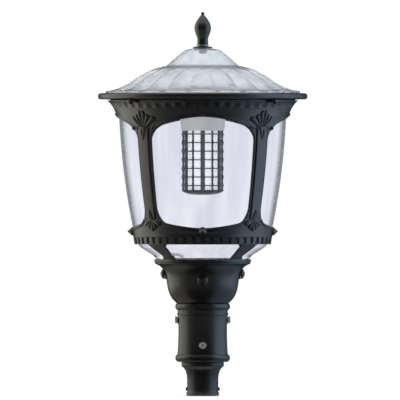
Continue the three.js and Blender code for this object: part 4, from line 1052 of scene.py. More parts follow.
@dataclass
class LowerFrame:
    """The lower casting: skirt and base plate, four struts, and the ring with its arches and dentils."""

    globe: Globe
    skirt_bore: float = 74.34
    skirt_radius: float = 80.74
    plate_base: float = 322.0
    plate_top: float = 327.9
    plate_radius: float = 116.3
    ring_base: float = 364.1
    ledge: float = 397.7
    lens_foot: float = 111.6
    lens_radius: float = 153.6
    lens_wall: float = 3.0
    lens_lap: float = 8.0
    strut_depth: float = 4.4
    strut_half: tuple[float, float] = (6.9, 9.4)
    foot_fillet: float = 4.4
    head_fillet: float = 2.4
    fan_height: float = 424.0
    dentil_count: int = 48
    dentil_depth: float = 4.2
    dentil_base: float = 366.4
    dentil_top: float = 381.0

    def lens(self) -> np.ndarray:
        """The lens's outer line from its foot up: a cone, steep at both ends, that leans out in between."""
        share = flowing(np.array([[0, 0], [0.13, 0.22], [0.46, 0.48], [0.88, 0.8], [1, 0.95]]), 8)
        foot = np.array([self.lens_foot, self.plate_top + GAP])
        return foot + share * ([self.lens_radius, self.ring_base] - foot)

    def ring(self) -> Skin:
        """The arched ring.

        At each azimuth the section climbs the outside through the dentil band and a plain field to the
        roll along the arch's edge, and comes down the inside behind the panes. Between the dentils are
        slots: the band's radius drops by their depth where a cosine of the pitch is near its crest.

        Returns:
            The ring's skin.
        """
        azimuths = window_azimuths(self.globe, 16 * self.dentil_count)
        edge = self.globe.lower_arch.edge(self.globe.window_share(azimuths))
        low, high = float(self.globe.frame(self.ledge)) - 5.2, float(self.globe.frame(self.ledge))
        heights = np.array([
            self.ring_base, self.ring_base, self.ring_base + 1.2, self.dentil_base - 0.5, self.dentil_base,
            self.dentil_base + 1.0, (self.dentil_base + self.dentil_top) / 2, self.dentil_top - 2.4,
            self.dentil_top, self.dentil_top + 0.8, 383.6, 386.5, 389.5, 391.5,
        ])
        lean = low + (high - low) * np.clip((heights - self.ring_base) / (self.ledge - self.ring_base), 0, 1)
        proud = np.array([-2.4, -0.8, 0.2, 0.3, 0, 0, 0, 0, 0, 0.4, 0.4, -0.9, -1.3, -1.4])
        outer = np.broadcast_to(np.stack([lean + proud, heights], axis=1), (len(azimuths), 14, 2)).copy()
        wave = np.cos(np.radians(azimuths * self.dentil_count))
        slot = np.clip((wave - 0.25) / 0.3, 0, 1)
        outer[:, 4:9, 0] -= self.dentil_depth * slot[:, None] * np.array([0, 1, 1, 0.8, 0])
        rising = edge[:, None] - np.array([8.4, 7.0, 5.6, 3.2, 1.0, 0.0])
        roll = np.array([-1.3, -0.9, 0.3, 0.9, 0.4, -0.9])
        upper = np.stack([self.globe.frame(rising) + roll, rising], axis=-1)
        inner = np.stack([self.globe.radius(edge) + GAP, edge], axis=-1)[:, None]
        shelf = float(self.globe.radius(self.ledge)) + GAP
        bore = self.lens_radius + GAP
        back = np.broadcast_to(
            [[shelf, self.ledge], [bore, self.ledge], [bore, self.ring_base]], (len(azimuths), 3, 2),
        )
        section = np.concatenate([outer, upper, inner, back], axis=1)
        return ringed(filleted(section, 0.7, 3), azimuths)

    def strut(self, azimuth: float) -> Skin:
        """One strut over the lens: it widens upwards, and a fillet opens it towards both its ends.

        Its half width in degrees runs from the foot's to the head's, plus a fillet that falls off with
        the square of the distance from each end. Its face is a little crowned, and its long edges are
        rounded by the falling crown.

        Args:
            azimuth: Where it stands.

        Returns:
            The strut's skin.
        """
        line = self.lens()
        route = np.concatenate([[[line[0, 0], self.plate_top - 1.0]], line,
                                [[self.lens_radius, self.ring_base + 2.0]]])
        level = (route[:, 1] - self.plate_top) / (self.ring_base - self.plate_top)
        half = self.strut_half[0] + (self.strut_half[1] - self.strut_half[0]) * level
        half += self.foot_fillet * np.clip(1 - level / 0.3, 0, 1) ** 2
        half += self.head_fillet * np.clip((level - 0.8) / 0.2, 0, 1) ** 2
        across = np.array([-1, -0.97, -0.9, -0.6, 0, 0.6, 0.9, 0.97, 1])
        crown = self.strut_depth * np.array([0.35, 0.8, 0.97, 1, 1, 1, 0.97, 0.8, 0.35])
        turn = azimuth + half[:, None] * across
        front = place(route[:, :1] + GAP + crown, turn, route[:, 1:])
        back = place(route[:, :1] + GAP + 0 * crown, turn, route[:, 1:])
        return slab(front, back)

    def base(self) -> Skin:
        """The base plate with the skirt that stands inside the bell."""
        foot = span_of("lower_frame")[0]
        return turned(filleted([
            [self.skirt_bore, foot], [self.skirt_radius, foot], [self.skirt_radius, self.plate_base],
            [self.plate_radius, self.plate_base], [self.plate_radius, self.plate_top],
            [self.skirt_bore, self.plate_top],
        ], [1, 1.5, 0.6, 1.8, 2.2, 1.5]), 144)

    def knob(self, azimuth: float) -> Skin:
        """A pointed bud at the middle of an arch, lying outwards, its flank drawn in to the tip."""
        outline = flowing(np.array([
            [9.6, -2.0], [10.2, 0.4], [9.6, 3.0], [7.7, 5.8], [5.0, 8.2], [3.2, 10.2], [2.0, 12.0],
        ]), 5)
        outline = np.concatenate([[[0, -4.0], [9.2, -4.0]], outline, [[0, 12.9]]])
        seat = float(self.globe.frame(self.ledge)) - 1.6
        return facing(turned(outline, 32), azimuth, seat, self.ledge - 2.5)

    def build(self) -> None:
        """Makes the casting, its ornaments and the clear cone inside it."""
        hole = rod(Fitter.bolt_radius + GAP, -30, 4)
        holes = tuple(facing(hole, a, self.skirt_radius + 4, z) for a, z in zip(CROSS, Fitter.bolt_heights))
        make_piece("base_plate_and_skirt", [self.base()],
                   replaces="lower_frame", cutters=holes)
        make_piece("lower_ring", [self.ring()], crease=38)
        make_piece("struts", [self.strut(a) for a in DIAGONALS], crease=50)
        skins = [self.knob(a) for a in CROSS]
        for azimuth in DIAGONALS:
            skins.append(Palmette(self.globe, azimuth, self.fan_height, height=29.0, spread=74.0, lobes=5,
                                  way=-1, proud=3.8).skin())
            skins.append(Leaf(self.globe, azimuth, self.fan_height, tip=449.0, half_width=9.5,
                              proud=3.0).skin())
        make_piece("lower_ornaments", skins, crease=60)
        line = self.lens()
        outer = np.concatenate([line, [[self.lens_radius, self.ring_base + self.lens_lap]]])
        inner = outer[::-1] - [self.lens_wall, 0]
        make_piece("lens_cone", [turned(np.concatenate([outer, inner]), 192)], CLEAR_POLYCARBONATE,
                   Slot.CLEAR, replaces="lower_lens", crease=50)


@dataclass
class Palmette:
    """A cast fan ornament that lies on the frame's surface: lobes that spread from a point, with slots."""

    globe: Globe
    azimuth: float
    foot: float
    height: float
    spread: float
    lobes: int
    way: int
    proud: float
    flare: float = 0.0
    flare_base: float = 0.0
    flare_top: float = 1.0

    def surface(self, height: np.ndarray) -> np.ndarray:
        """The radius of what the fan lies on: the frame's, plus a flare that grows over its own heights."""
        along = np.clip((height - self.flare_base) / (self.flare_top - self.flare_base), 0, 1)
        return self.globe.frame(height) + self.flare * along ** 1.5

    def skin(self) -> Skin:
        """The fan's skin on a polar grid of shares of the way out and angles from the middle.

        A ray's length is the fan's height, a little more at the sides and less half way there, so that
        the fan comes to a point at the top. Each lobe's back is half a sine across, its tip is round,
        and it swells towards the tip, while the slots between lobes fall to the ground.

        Returns:
            The fan's skin.
        """
        side = np.linspace(-1, 1, 16 * self.lobes + 1)[None, :]
        out = np.concatenate([np.linspace(0.05, 0.88, 16), [0.93, 0.97, 1.0]])[:, None]
        lobe = np.abs(np.sin(math.pi * self.lobes * (side + 1) / 2))
        length = self.height * (1 + 0.09 * side ** 2 - 0.15 * np.sin(math.pi * side) ** 2)
        length = length * (0.88 + 0.12 * np.sqrt(lobe))
        angle = np.radians(self.spread) * side
        x = length * out * np.sin(angle)
        z = self.foot + self.way * length * out * np.cos(angle)
        swell = np.sin(math.pi * out ** 1.7) ** 0.5 * (0.5 + 0.5 * out)
        rise = self.proud * (0.06 + 0.94 * lobe ** 0.6) * swell
        ground = self.surface(z)
        turn = self.azimuth + np.degrees(x / ground)
        return slab(place(ground + rise + 0.1, turn, z), place(ground - 1.2, turn, z))


@dataclass
class Windows:
    """The four panes, the posts between them with their raised strips, and the screws and seal behind."""

    globe: Globe
    pane_half: float = 40.8
    pane_wall: float = 3.0
    web_half: float = 3.8
    web_depth: float = 12.0
    groove: float = 5.3
    spring_low: float = 425.0
    spring_high: float = 640.0
    ledge_bore: float = 188.8

    def pane(self, azimuth: float) -> Skin:
        """One curved pane: its outer grid follows the barrelled cone, its inner one lies a wall behind."""
        turn = azimuth + np.linspace(-self.pane_half, self.pane_half, 121)[:, None]
        height = np.linspace(self.globe.base, self.globe.top, 97)[None, :]
        radius = self.globe.radius(height)
        return slab(place(radius, turn, height), place(radius - self.pane_wall, turn, height))

    def post(self, azimuth: float) -> list[Skin]:
        """One post: a flange that slopes down to the panes, a strip between two grooves, and a web.

        Across the post the face's height over the panes is a list of stations. The strip's and grooves'
        stations keep their angles, and those outside them spread with the post's half angle, which grows
        where it fills the windows' rounded corners.

        Args:
            azimuth: Where it stands.

        Returns:
            The skins of face and web.
        """
        across = np.array([6.6, 6.55, 6.3, 5.8, 5.5, self.groove, 4.8, 4.65, 4.5, 4.25, 3.6, 2.0, 0.0])
        rise = np.array([0.5, 1.4, 2.1, 2.7, 2.6, 0.8, 0.8, 3.6, 4.5, 4.85, 4.9, 4.9, 4.9])
        stations = np.concatenate([-across, across[-2::-1]])[:, None]
        face = np.concatenate([rise, rise[-2::-1]])[:, None]
        height = np.linspace(self.spring_low + 0.3, self.spring_high - 0.3, 81)[None, :]
        widen = (self.globe.post_spread(height) - self.groove) / (self.globe.post_half - self.groove)
        outside = np.maximum(np.abs(stations) - self.groove, 0)
        turn = azimuth + np.sign(stations) * (np.minimum(np.abs(stations), self.groove) + outside * widen)
        radius = self.globe.radius(height)
        flange = slab(place(radius + face, turn, height), place(radius + GAP, turn, height))
        web_turn = azimuth + np.linspace(-self.web_half, self.web_half, 7)[:, None]
        tall = np.linspace(self.globe.base, self.globe.top, 41)[None, :]
        outer = self.globe.radius(tall)
        depth = self.web_depth - self.globe.proud
        web = slab(place(outer + 0.28, web_turn, tall), place(outer - depth, web_turn, tall))
        return [flange, web]

    def build(self) -> None:
        """Makes panes, posts, post screws and the seal behind the panes' upper edges."""
        for side, azimuth in zip(("front", "right", "rear", "left"), CROSS):
            make_piece(f"window_{side}", [self.pane(azimuth)], CLEAR_ACRYLIC, Slot.CLEAR,
                       replaces=f"pane_{side}", crease=60)
        level = sum(span_of("post_screw_1")) / 2
        seat = float(self.globe.frame(level)) - self.web_depth + 1.5
        screw = upside_down(pan_screw(7.0).skin())
        for i, azimuth in enumerate(DIAGONALS):
            hole = facing(rod(PAN_RADIUS + GAP, -30, 1.6), azimuth, seat - 1.6, level)
            make_piece(f"post_casting_{i + 1}", self.post(azimuth),
                       replaces=f"post_{i + 1}", crease=24, cutters=(hole,))
            make_piece(f"post_pan_screw_{i + 1}", [facing(screw, azimuth, seat - GAP, level)],
                       STAINLESS_STEEL, Slot.STAINLESS, replaces=f"post_screw_{i + 1}")
        base, top = span_of("pane_seal")
        azimuths = window_azimuths(self.globe, 288)
        behind = self.globe.window_share(azimuths) < 1
        inner = np.where(behind, self.pane_wall, self.web_depth - self.globe.proud) + GAP
        section = sections([
            (self.ledge_bore, base), (self.globe.radius(base) - inner, base),
            (self.globe.radius(top) - inner, top), (self.ledge_bore, top),
        ], len(azimuths))
        make_piece("pane_seal_strip", [ringed(filleted(section, 0.8, 3), azimuths)], EPDM_RUBBER,
                   Slot.RUBBER, replaces="pane_seal", crease=50)


@dataclass(frozen=True)
class RoofFastening:
    """What upper ring and roof share: the hinge's axis at the rear, and the captive screws' places."""

    radius: float = 239.0
    height: float = 701.8
    eye_radius: float = 7.5
    pin_radius: float = 4.0
    screw_at: float = 244.0
    screw_radius: float = 3.0
    screw_clearance: float = 0.6
    sides: tuple[tuple[str, float], ...] = (("right", 45.0), ("left", 315.0))

    def pin(self, radius: float, half: float, rounding: float = 0.0) -> Skin:
        """A rod along the hinge's axis, as far to either side as its half length."""
        made = band(0.0, radius, -half, half, [0, rounding, rounding, 0] if rounding else 0.0, 32)
        return Skin(made.corners[:, [2, 0, 1]] + [0, self.radius, self.height], made.faces)

    def pin_hole(self, half: float) -> Skin:
        """The pin's hole."""
        return self.pin(self.pin_radius + GAP, half)

    def screw_holes(self, start: float, end: float) -> tuple[Skin, ...]:
        """The two captive screws' holes between two heights."""
        hole = rod(self.screw_radius + self.screw_clearance, start, end)
        return tuple(moved(hole, *place(self.screw_at, azimuth, 0.0)) for _, azimuth in self.sides)


@dataclass
class UpperRing:
    """The upper casting: arches, flared band, fluted cornice, inner ledge, ornaments, ears and lugs."""

    globe: Globe
    band_top: float = 684.0
    band_flare: float = 7.4
    flare_base: float = 654.0
    flute_count: int = 52
    flute_depth: float = 2.4
    flute_base: float = 689.5
    flute_top: float = 705.0
    well_radius: float = 204.1
    ledge_bore: float = 188.8
    ledge_base: float = 680.3
    ledge_top: float = 686.3
    cornice_top: float = 709.5
    lip_radius: float = 228.0
    lip_base: float = 707.6
    fan_height: float = 639.0
    ear_root: float = 222.0
    fastening: RoofFastening = RoofFastening()
    ear_shift: float = 17.3
    ear_thickness: float = 8.0
    lug_foot: float = 210.0
    lug_width: float = 20.0
    lug_thickness: float = 6.0

    def cornice_line(self) -> np.ndarray:
        """The cornice's outer line: out of the band in a cove, then up and out to a thin plain lip."""
        return flowing(np.array([
            [211.1, 684.0], [211.9, 686.4], [213.6, 689.5], [216.6, 694.0], [219.8, 698.6],
            [223.4, 703.2], [226.6, 706.6],
        ]), 4)

    def section(self, azimuths: np.ndarray) -> np.ndarray:
        """The ring's section at each azimuth.

        A roll runs along the arch's edge. Above it the band follows the posts' cone and then flares by
        its share to the power 1.5. Flutes are hollows on the cornice: the radius drops by their depth
        times a raised cosine across to the power 0.8, and times the root of half a sine along.

        Args:
            azimuths: The azimuths in degrees.

        Returns:
            Closed sections, one for each azimuth.
        """
        edge = self.globe.upper_arch.edge(self.globe.window_share(azimuths))
        rising = edge[:, None] + np.array([0.0, 1.0, 3.4, 5.8, 7.2, 8.6])
        roll = np.broadcast_to([-1.0, 0.4, 1.0, 0.5, -0.6, -0.8], rising.shape)
        share = np.array([0.12, 0.3, 0.5, 0.66, 0.8, 0.9, 0.97])
        start = edge[:, None] + 8.6
        height = np.concatenate([rising, start + (self.band_top - start) * share], axis=1)
        proud = np.concatenate([roll, np.broadcast_to(-0.8 * (1 - share) ** 2, (len(edge), 7))], axis=1)
        field = np.stack([self.globe.frame(height) + self.flare(height) + proud, height], axis=-1)
        line = self.cornice_line()
        cornice = np.broadcast_to(line, (len(azimuths),) + line.shape).copy()
        pitch = FULL_TURN / self.flute_count
        across = 0.5 + 0.5 * np.cos(np.radians(azimuths / pitch * FULL_TURN))
        along = np.clip((line[:, 1] - self.flute_base) / (self.flute_top - self.flute_base), 0, 1)
        hollow = np.sin(math.pi * along) ** 0.5 * (along > 0) * (along < 1)
        cornice[..., 0] -= self.flute_depth * (across ** 0.8)[:, None] * hollow
        rest = np.broadcast_to([
            [self.lip_radius, self.lip_base], [self.lip_radius, self.cornice_top],
            [self.well_radius, self.cornice_top], [self.well_radius, self.ledge_top],
            [self.ledge_bore, self.ledge_top], [self.ledge_bore, self.ledge_base],
            [float(self.globe.radius(self.ledge_base)) + GAP, self.ledge_base],
        ], (len(azimuths), 7, 2))
        inner = np.stack([self.globe.radius(edge) + GAP, edge], axis=-1)[:, None]
        return np.concatenate([field, cornice, rest, inner], axis=1)

    def flare(self, height: np.ndarray) -> np.ndarray:
        """How far the band stands out from the posts' cone: its flare times a share to the power 1.5."""
        along = np.clip((height - self.flare_base) / (self.band_top - self.flare_base), 0, 1)
        return self.band_flare * along ** 1.5

    def ear(self, shift: float) -> Skin:
        """One hinge ear at the rear: a round eye on a web that runs in to the cornice.

        Args:
            shift: How far it stands to the side.

        Returns:
            The ear's skin.
        """
        sweep = np.linspace(math.pi / 2, -math.pi / 2, 17)
        axis, eye = self.fastening, self.fastening.eye_radius
        inside = self.ear_root - axis.radius
        outline = np.concatenate([
            np.stack([eye * np.cos(sweep), eye * np.sin(sweep)], axis=1), [[inside, -eye], [inside, eye]],
        ]) + [axis.radius, axis.height]
        return moved(prism(outline, self.ear_thickness, 0.9), x=shift)

    def lug(self, azimuth: float) -> Skin:
        """One lug for a roof screw: a flat tongue with a half round end, under the roof's rim.

        Args:
            azimuth: Where it stands.

        Returns:
            The lug's skin.
        """
        half = self.lug_width / 2
        end = self.fastening.screw_at + 7.0 - half
        sweep = np.linspace(-math.pi / 2, math.pi / 2, 13)
        tongue = np.concatenate([
            [[self.lug_foot, -half]],
            np.stack([end + half * np.cos(sweep), half * np.sin(sweep)], axis=1), [[self.lug_foot, half]],
        ])
        turn = np.degrees(np.arctan2(tongue[:, 1], tongue[:, 0]))
        reach = np.hypot(tongue[:, 0], tongue[:, 1])
        low, high = self.cornice_top - self.lug_thickness, self.cornice_top
        chamfer = 0.8
        rings = [(low, chamfer), (low + chamfer, 0), (high - chamfer, 0), (high, chamfer)]
        return stacked(np.stack([place(reach - c, azimuth + turn, z) for z, c in rings]))

    def ornaments(self) -> list[Skin]:
        """Buds over the windows, and palmettes, scroll eyes and pointed leaves on the post heads."""
        skins = []
        for azimuth in CROSS:
            height = self.globe.upper_arch.crown + 7.6
            seat = float(self.globe.frame(height) + self.flare(height)) - 0.6
            sweep = np.linspace(0, math.pi / 2, 9)
            button = np.stack([4.2 * np.cos(sweep), 3.4 * np.sin(sweep)], axis=1)
            skins.append(facing(turned(np.concatenate([[[0, -1.5], [4.2, -1.5]], button]), 24),
                                azimuth, seat, height))
        for azimuth in DIAGONALS:
            skins.append(Palmette(self.globe, azimuth, self.fan_height, height=47.0, spread=62.0, lobes=6,
                                  way=1, proud=5.4, flare=self.band_flare, flare_base=self.flare_base,
                                  flare_top=self.band_top).skin())
            skins.append(Leaf(self.globe, azimuth, self.fan_height + 6.0, tip=612.0, half_width=13.5,
                              proud=3.4).skin())
            for shift, size in ((-9.6, 1.0), (-4.9, 0.8), (4.9, 0.8), (9.6, 1.0)):
                skins.append(self.scroll(azimuth + shift, 642.6, size))
        return skins

    def scroll(self, azimuth: float, height: float, size: float) -> Skin:
        """A scroll's eye: a small ring that stands off the surface, so that its middle stays dark."""
        turn = np.linspace(0, 2 * math.pi, 12, endpoint=False)
        outline = size * np.stack([3.8 + 1.6 * np.cos(turn), 1.6 + 1.8 * np.sin(turn)], axis=1)
        return facing(turned(outline, 28), azimuth, float(self.globe.frame(height)), height)

    def build(self) -> None:
        """Makes the casting with its ears and lugs, its ornaments, and the seal on its cornice."""
        azimuths = window_azimuths(self.globe, 12 * self.flute_count)
        ring = ringed(filleted(self.section(azimuths), 0.6, 3), azimuths)
        make_piece("upper_ring_casting", [ring], replaces="upper_ring",
                   crease=42)
        make_piece("hinge_ears", [self.ear(-self.ear_shift), self.ear(self.ear_shift)],
                   cutters=(self.fastening.pin_hole(40.0),))
        make_piece("roof_screw_lugs", [self.lug(azimuth) for _, azimuth in self.fastening.sides],
                   cutters=self.fastening.screw_holes(690, 712))
        make_piece("upper_ornaments", self.ornaments(), crease=60)
        outer = reach_of("roof_seal")
        inner = outer - (self.lip_radius - self.well_radius) / 2
        make_piece("roof_seal_ring", [band(inner, outer, *span_of("roof_seal"), 0.6, 144)], EPDM_RUBBER,
                   Slot.RUBBER, replaces="roof_seal")


@dataclass
class Leaf:
    """A pointed leaf with a deep middle slot, lying on a post's head."""

    globe: Globe
    azimuth: float
    top: float
    tip: float
    half_width: float
    proud: float

    def skin(self) -> Skin:
        """The leaf on a grid: its half width falls to the tip with the root of what is left of its length.

        Across, its back is a half wave, from which a narrow slot at the middle is taken away.

        Returns:
            The leaf's skin.
        """
        along = np.linspace(0, 1, 19)[:, None]
        across = np.linspace(-1, 1, 25)[None, :]
        height = self.top + (self.tip - self.top) * along
        half = self.half_width * np.sqrt(np.clip(1 - along, 0.0, 1)) * (0.75 + 0.25 * np.cos(2 * along))
        ground = self.globe.frame(height)
        face = 1.9
        slot = np.exp(-(across / 0.16) ** 2) * np.sin(math.pi * np.clip(along * 1.1, 0, 1))
        rise = self.proud * (np.sqrt(np.clip(1 - across ** 2, 0, 1)) - 0.75 * slot) * np.sqrt(1 - along ** 3)
        turn = self.azimuth + np.degrees(half * across / ground)
        front = place(ground + face + rise, turn, height + 0 * across)
        back = place(ground - 1.0 + 0 * across, turn, height + 0 * across)
        return slab(front, back)


@dataclass
class LedColumn:
    """The hanging light column: cap, nut, opal core, six louvre rows in a cage of bars, end dish, bolt."""

    core_radius: float = 33.0
    flare_radius: float = 44.0
    flare_height: float = 9.6
    disc_radius: float = 51.6
    disc_height: float = 2.8
    bar_inner: float = 44.6
    bar_outer: float = 50.4
    wide_bar: float = 11.0
    thin_bar: float = 3.6
    cap_skirt: float = 7.6
    nut_bore: float = 22.3
    nut_radius: float = 29.0
    nut_notches: int = 8
    notch_depth: float = 1.6

    def bars(self, base: float, top: float) -> list[Skin]:
        """The cage's bars of one row: six wide ones, the first in front, and six thin ones between them.

        Args:
            base: Their lower end.
            top: Their upper end.

        Returns:
            The bars' skins.
        """
        skins = []
        for azimuth in range(0, 360, 60):
            skins.append(self.bar(azimuth, base, top, self.wide_bar))
            skins.append(self.bar(azimuth + 30, base, top, self.thin_bar))
        return skins

    def bar(self, azimuth: float, base: float, top: float, width: float) -> Skin:
        """One upright bar, waisted at mid height, its face a little round across.

        The waist draws the face in by half a sine of the height.

        Args:
            azimuth: Where it stands.
            base: Its lower end.
            top: Its upper end.
            width: Its width.

        Returns:
            The bar's skin.
        """
        height = np.linspace(base, top, 9)[:, None]
        across = np.linspace(-1, 1, 7)[None, :]
        waist = np.sin(math.pi * (height - base) / (top - base))
        reach = self.bar_outer - 1.6 * waist - 0.7 * across ** 4
        turn_out = np.degrees(width / 2 * across * (1 - 0.12 * waist) / reach)
        turn_in = np.degrees(width / 2 * across / self.bar_inner)
        front = place(reach, azimuth + turn_out, height + 0 * across)
        back = place(self.bar_inner, azimuth + turn_in, height + 0 * across)
        return slab(front, back)

    def disc(self, level: float) -> Skin:
        """The ring between two rows: thin, with a rounded rim that stands out from the bars."""
        half = self.disc_height / 2
        return band(self.core_radius + 0.2, self.disc_radius, level - half, level + half, [0, 1.3, 1.3, 0],
                    fine=5)

    def flare(self, top: float, height: float) -> Skin:
        """The opal flare under a ring: a cone that widens upwards from the core."""
        foot = self.core_radius + (self.flare_radius - self.core_radius) * (1 - height / self.flare_height)
        return turned(filleted([
            [self.core_radius + 0.2, top - height], [foot + 0.4, top - height], [self.flare_radius, top],
            [self.core_radius + 0.2, top],
        ], [0, 0.3, 0.6, 0]), 120)

    def cap(self) -> Skin:
        """The cast cap: a plain drum that widens upwards to a flange, with a neck through the tray."""
        base, top = span_of("column_cap")
        foot = base + self.cap_skirt
        tray = span_of("gear_tray")[1] - 3.0
        return turned(filleted([
            [4.3, base + 0.2], [self.core_radius, base + 0.2], [self.core_radius, foot], [50.6, foot],
            [51.8, foot + 1.6], [53.2, base + 24], [55.4, tray - 8.2], [64.0, tray - 6.6],
            [64.0, tray - GAP], [22.0, tray - GAP], [22.0, top], [18.0, top], [18.0, base + 14.4],
            [4.3, base + 14.4],
        ], [0.5, 0.5, 0.5, 1.0, 1.5, 8, 3, 1.2, 1.2, 0.5, 1, 1, 1, 0.5]), 144)

    def dish(self, base: float, rim: float) -> Skin:
        """The end dish: its underside rises from the middle to the rim as a shallow bowl's does."""
        line = flowing(np.array([
            [8.6, base], [20.0, base + 0.5], [33.0, base + 2.2], [43.0, base + 5.2], [49.0, base + 8.6],
            [51.2, base + 11.6],
        ]), 5)
        return turned(np.concatenate([
            line, filleted([[51.2, base + 11.6], [51.4, rim + 1.2], [48.6, rim + 1.8], [44.0, rim],
                            [4.3, rim], [4.3, base + 4], [8.6, base + 4], [8.6, base]],
                           [0, 1, 1, 1, 0.5, 0.5, 0.5, 0])[4:-4],
        ]), 144)

    def build(self) -> None:
        """Makes the column's pieces from the top down."""
        cap_base = span_of("column_cap")[0]
        make_piece("cap_casting", [self.cap()], CAST_ALUMINIUM, Slot.CASTING, replaces="column_cap")
        ring_half = self.disc_height / 2
        make_piece("cap_bars", self.bars(cap_base + 1.2, cap_base + self.cap_skirt + 0.4), SMOKED_ABS,
                   Slot.CASTING, crease=50)
        make_piece("cap_opal_band", [self.flare(cap_base + self.cap_skirt - 0.2, self.cap_skirt - 0.6)],
                   OPAL_ACRYLIC, Slot.CASTING, crease=50)
        base, top = span_of("column_nut")
        steps = np.arange(96) * FULL_TURN / 96
        notch = self.notch_depth * (np.cos(np.radians(steps * self.nut_notches)) > 0.75)
        outline = filleted([[self.nut_bore, base], [self.nut_radius, base], [self.nut_radius, top],
                            [self.nut_bore, top]], 0.8)
        section = np.broadcast_to(outline, (96,) + outline.shape).copy()
        section[..., 0] -= notch[:, None] * (outline[:, 0] > 26)
        make_piece("ring_nut", [ringed(section, steps)], STAINLESS_STEEL, Slot.STAINLESS,
                   replaces="column_nut")
        dish_base, dish_top = span_of("column_end_cap")
        rim = dish_base + 10.6
        core = band(self.core_radius - 3, self.core_radius, rim + GAP, cap_base - 0.1, 0.5)
        make_piece("opal_core", [core], OPAL_ACRYLIC, Slot.CASTING, replaces="led_core", crease=40)
        for row in range(1, 7):
            node = f"reflector_ring_{row}"
            base, top = span_of(node)
            level = top + 0.1
            make_piece(f"row_disc_{row}", [self.disc(level)], SMOKED_ABS, Slot.MIRROR, replaces=node)
            make_piece(f"row_flare_{row}", [self.flare(level - ring_half - 0.1, self.flare_height)],
                       OPAL_ACRYLIC, Slot.MIRROR, crease=50)
            make_piece(f"row_bars_{row}", self.bars(base + 1.0, level - ring_half + 0.3), SMOKED_ABS,
                       Slot.MIRROR, crease=50)
        make_piece("end_dish", [self.dish(dish_base, rim), self.disc(dish_top + 0.1)]
                   + self.bars(rim + 1.0, dish_top - ring_half + 0.4), SMOKED_ABS, Slot.BLACK,
                   replaces="column_end_cap", crease=50)
        make_piece("end_flare", [self.flare(dish_top - ring_half, self.flare_height)], OPAL_ACRYLIC,
                   Slot.MIRROR, crease=50)
        base, top = span_of("column_bolt")
        bolt = Screw(4.0, top - base - 3.4, 7.2, 3.4, 1.0, socket=2.6)
        make_piece("long_bolt", [moved(upside_down(bolt.skin()), z=base + bolt.head_height)],
                   STAINLESS_STEEL, Slot.STAINLESS, replaces="column_bolt")


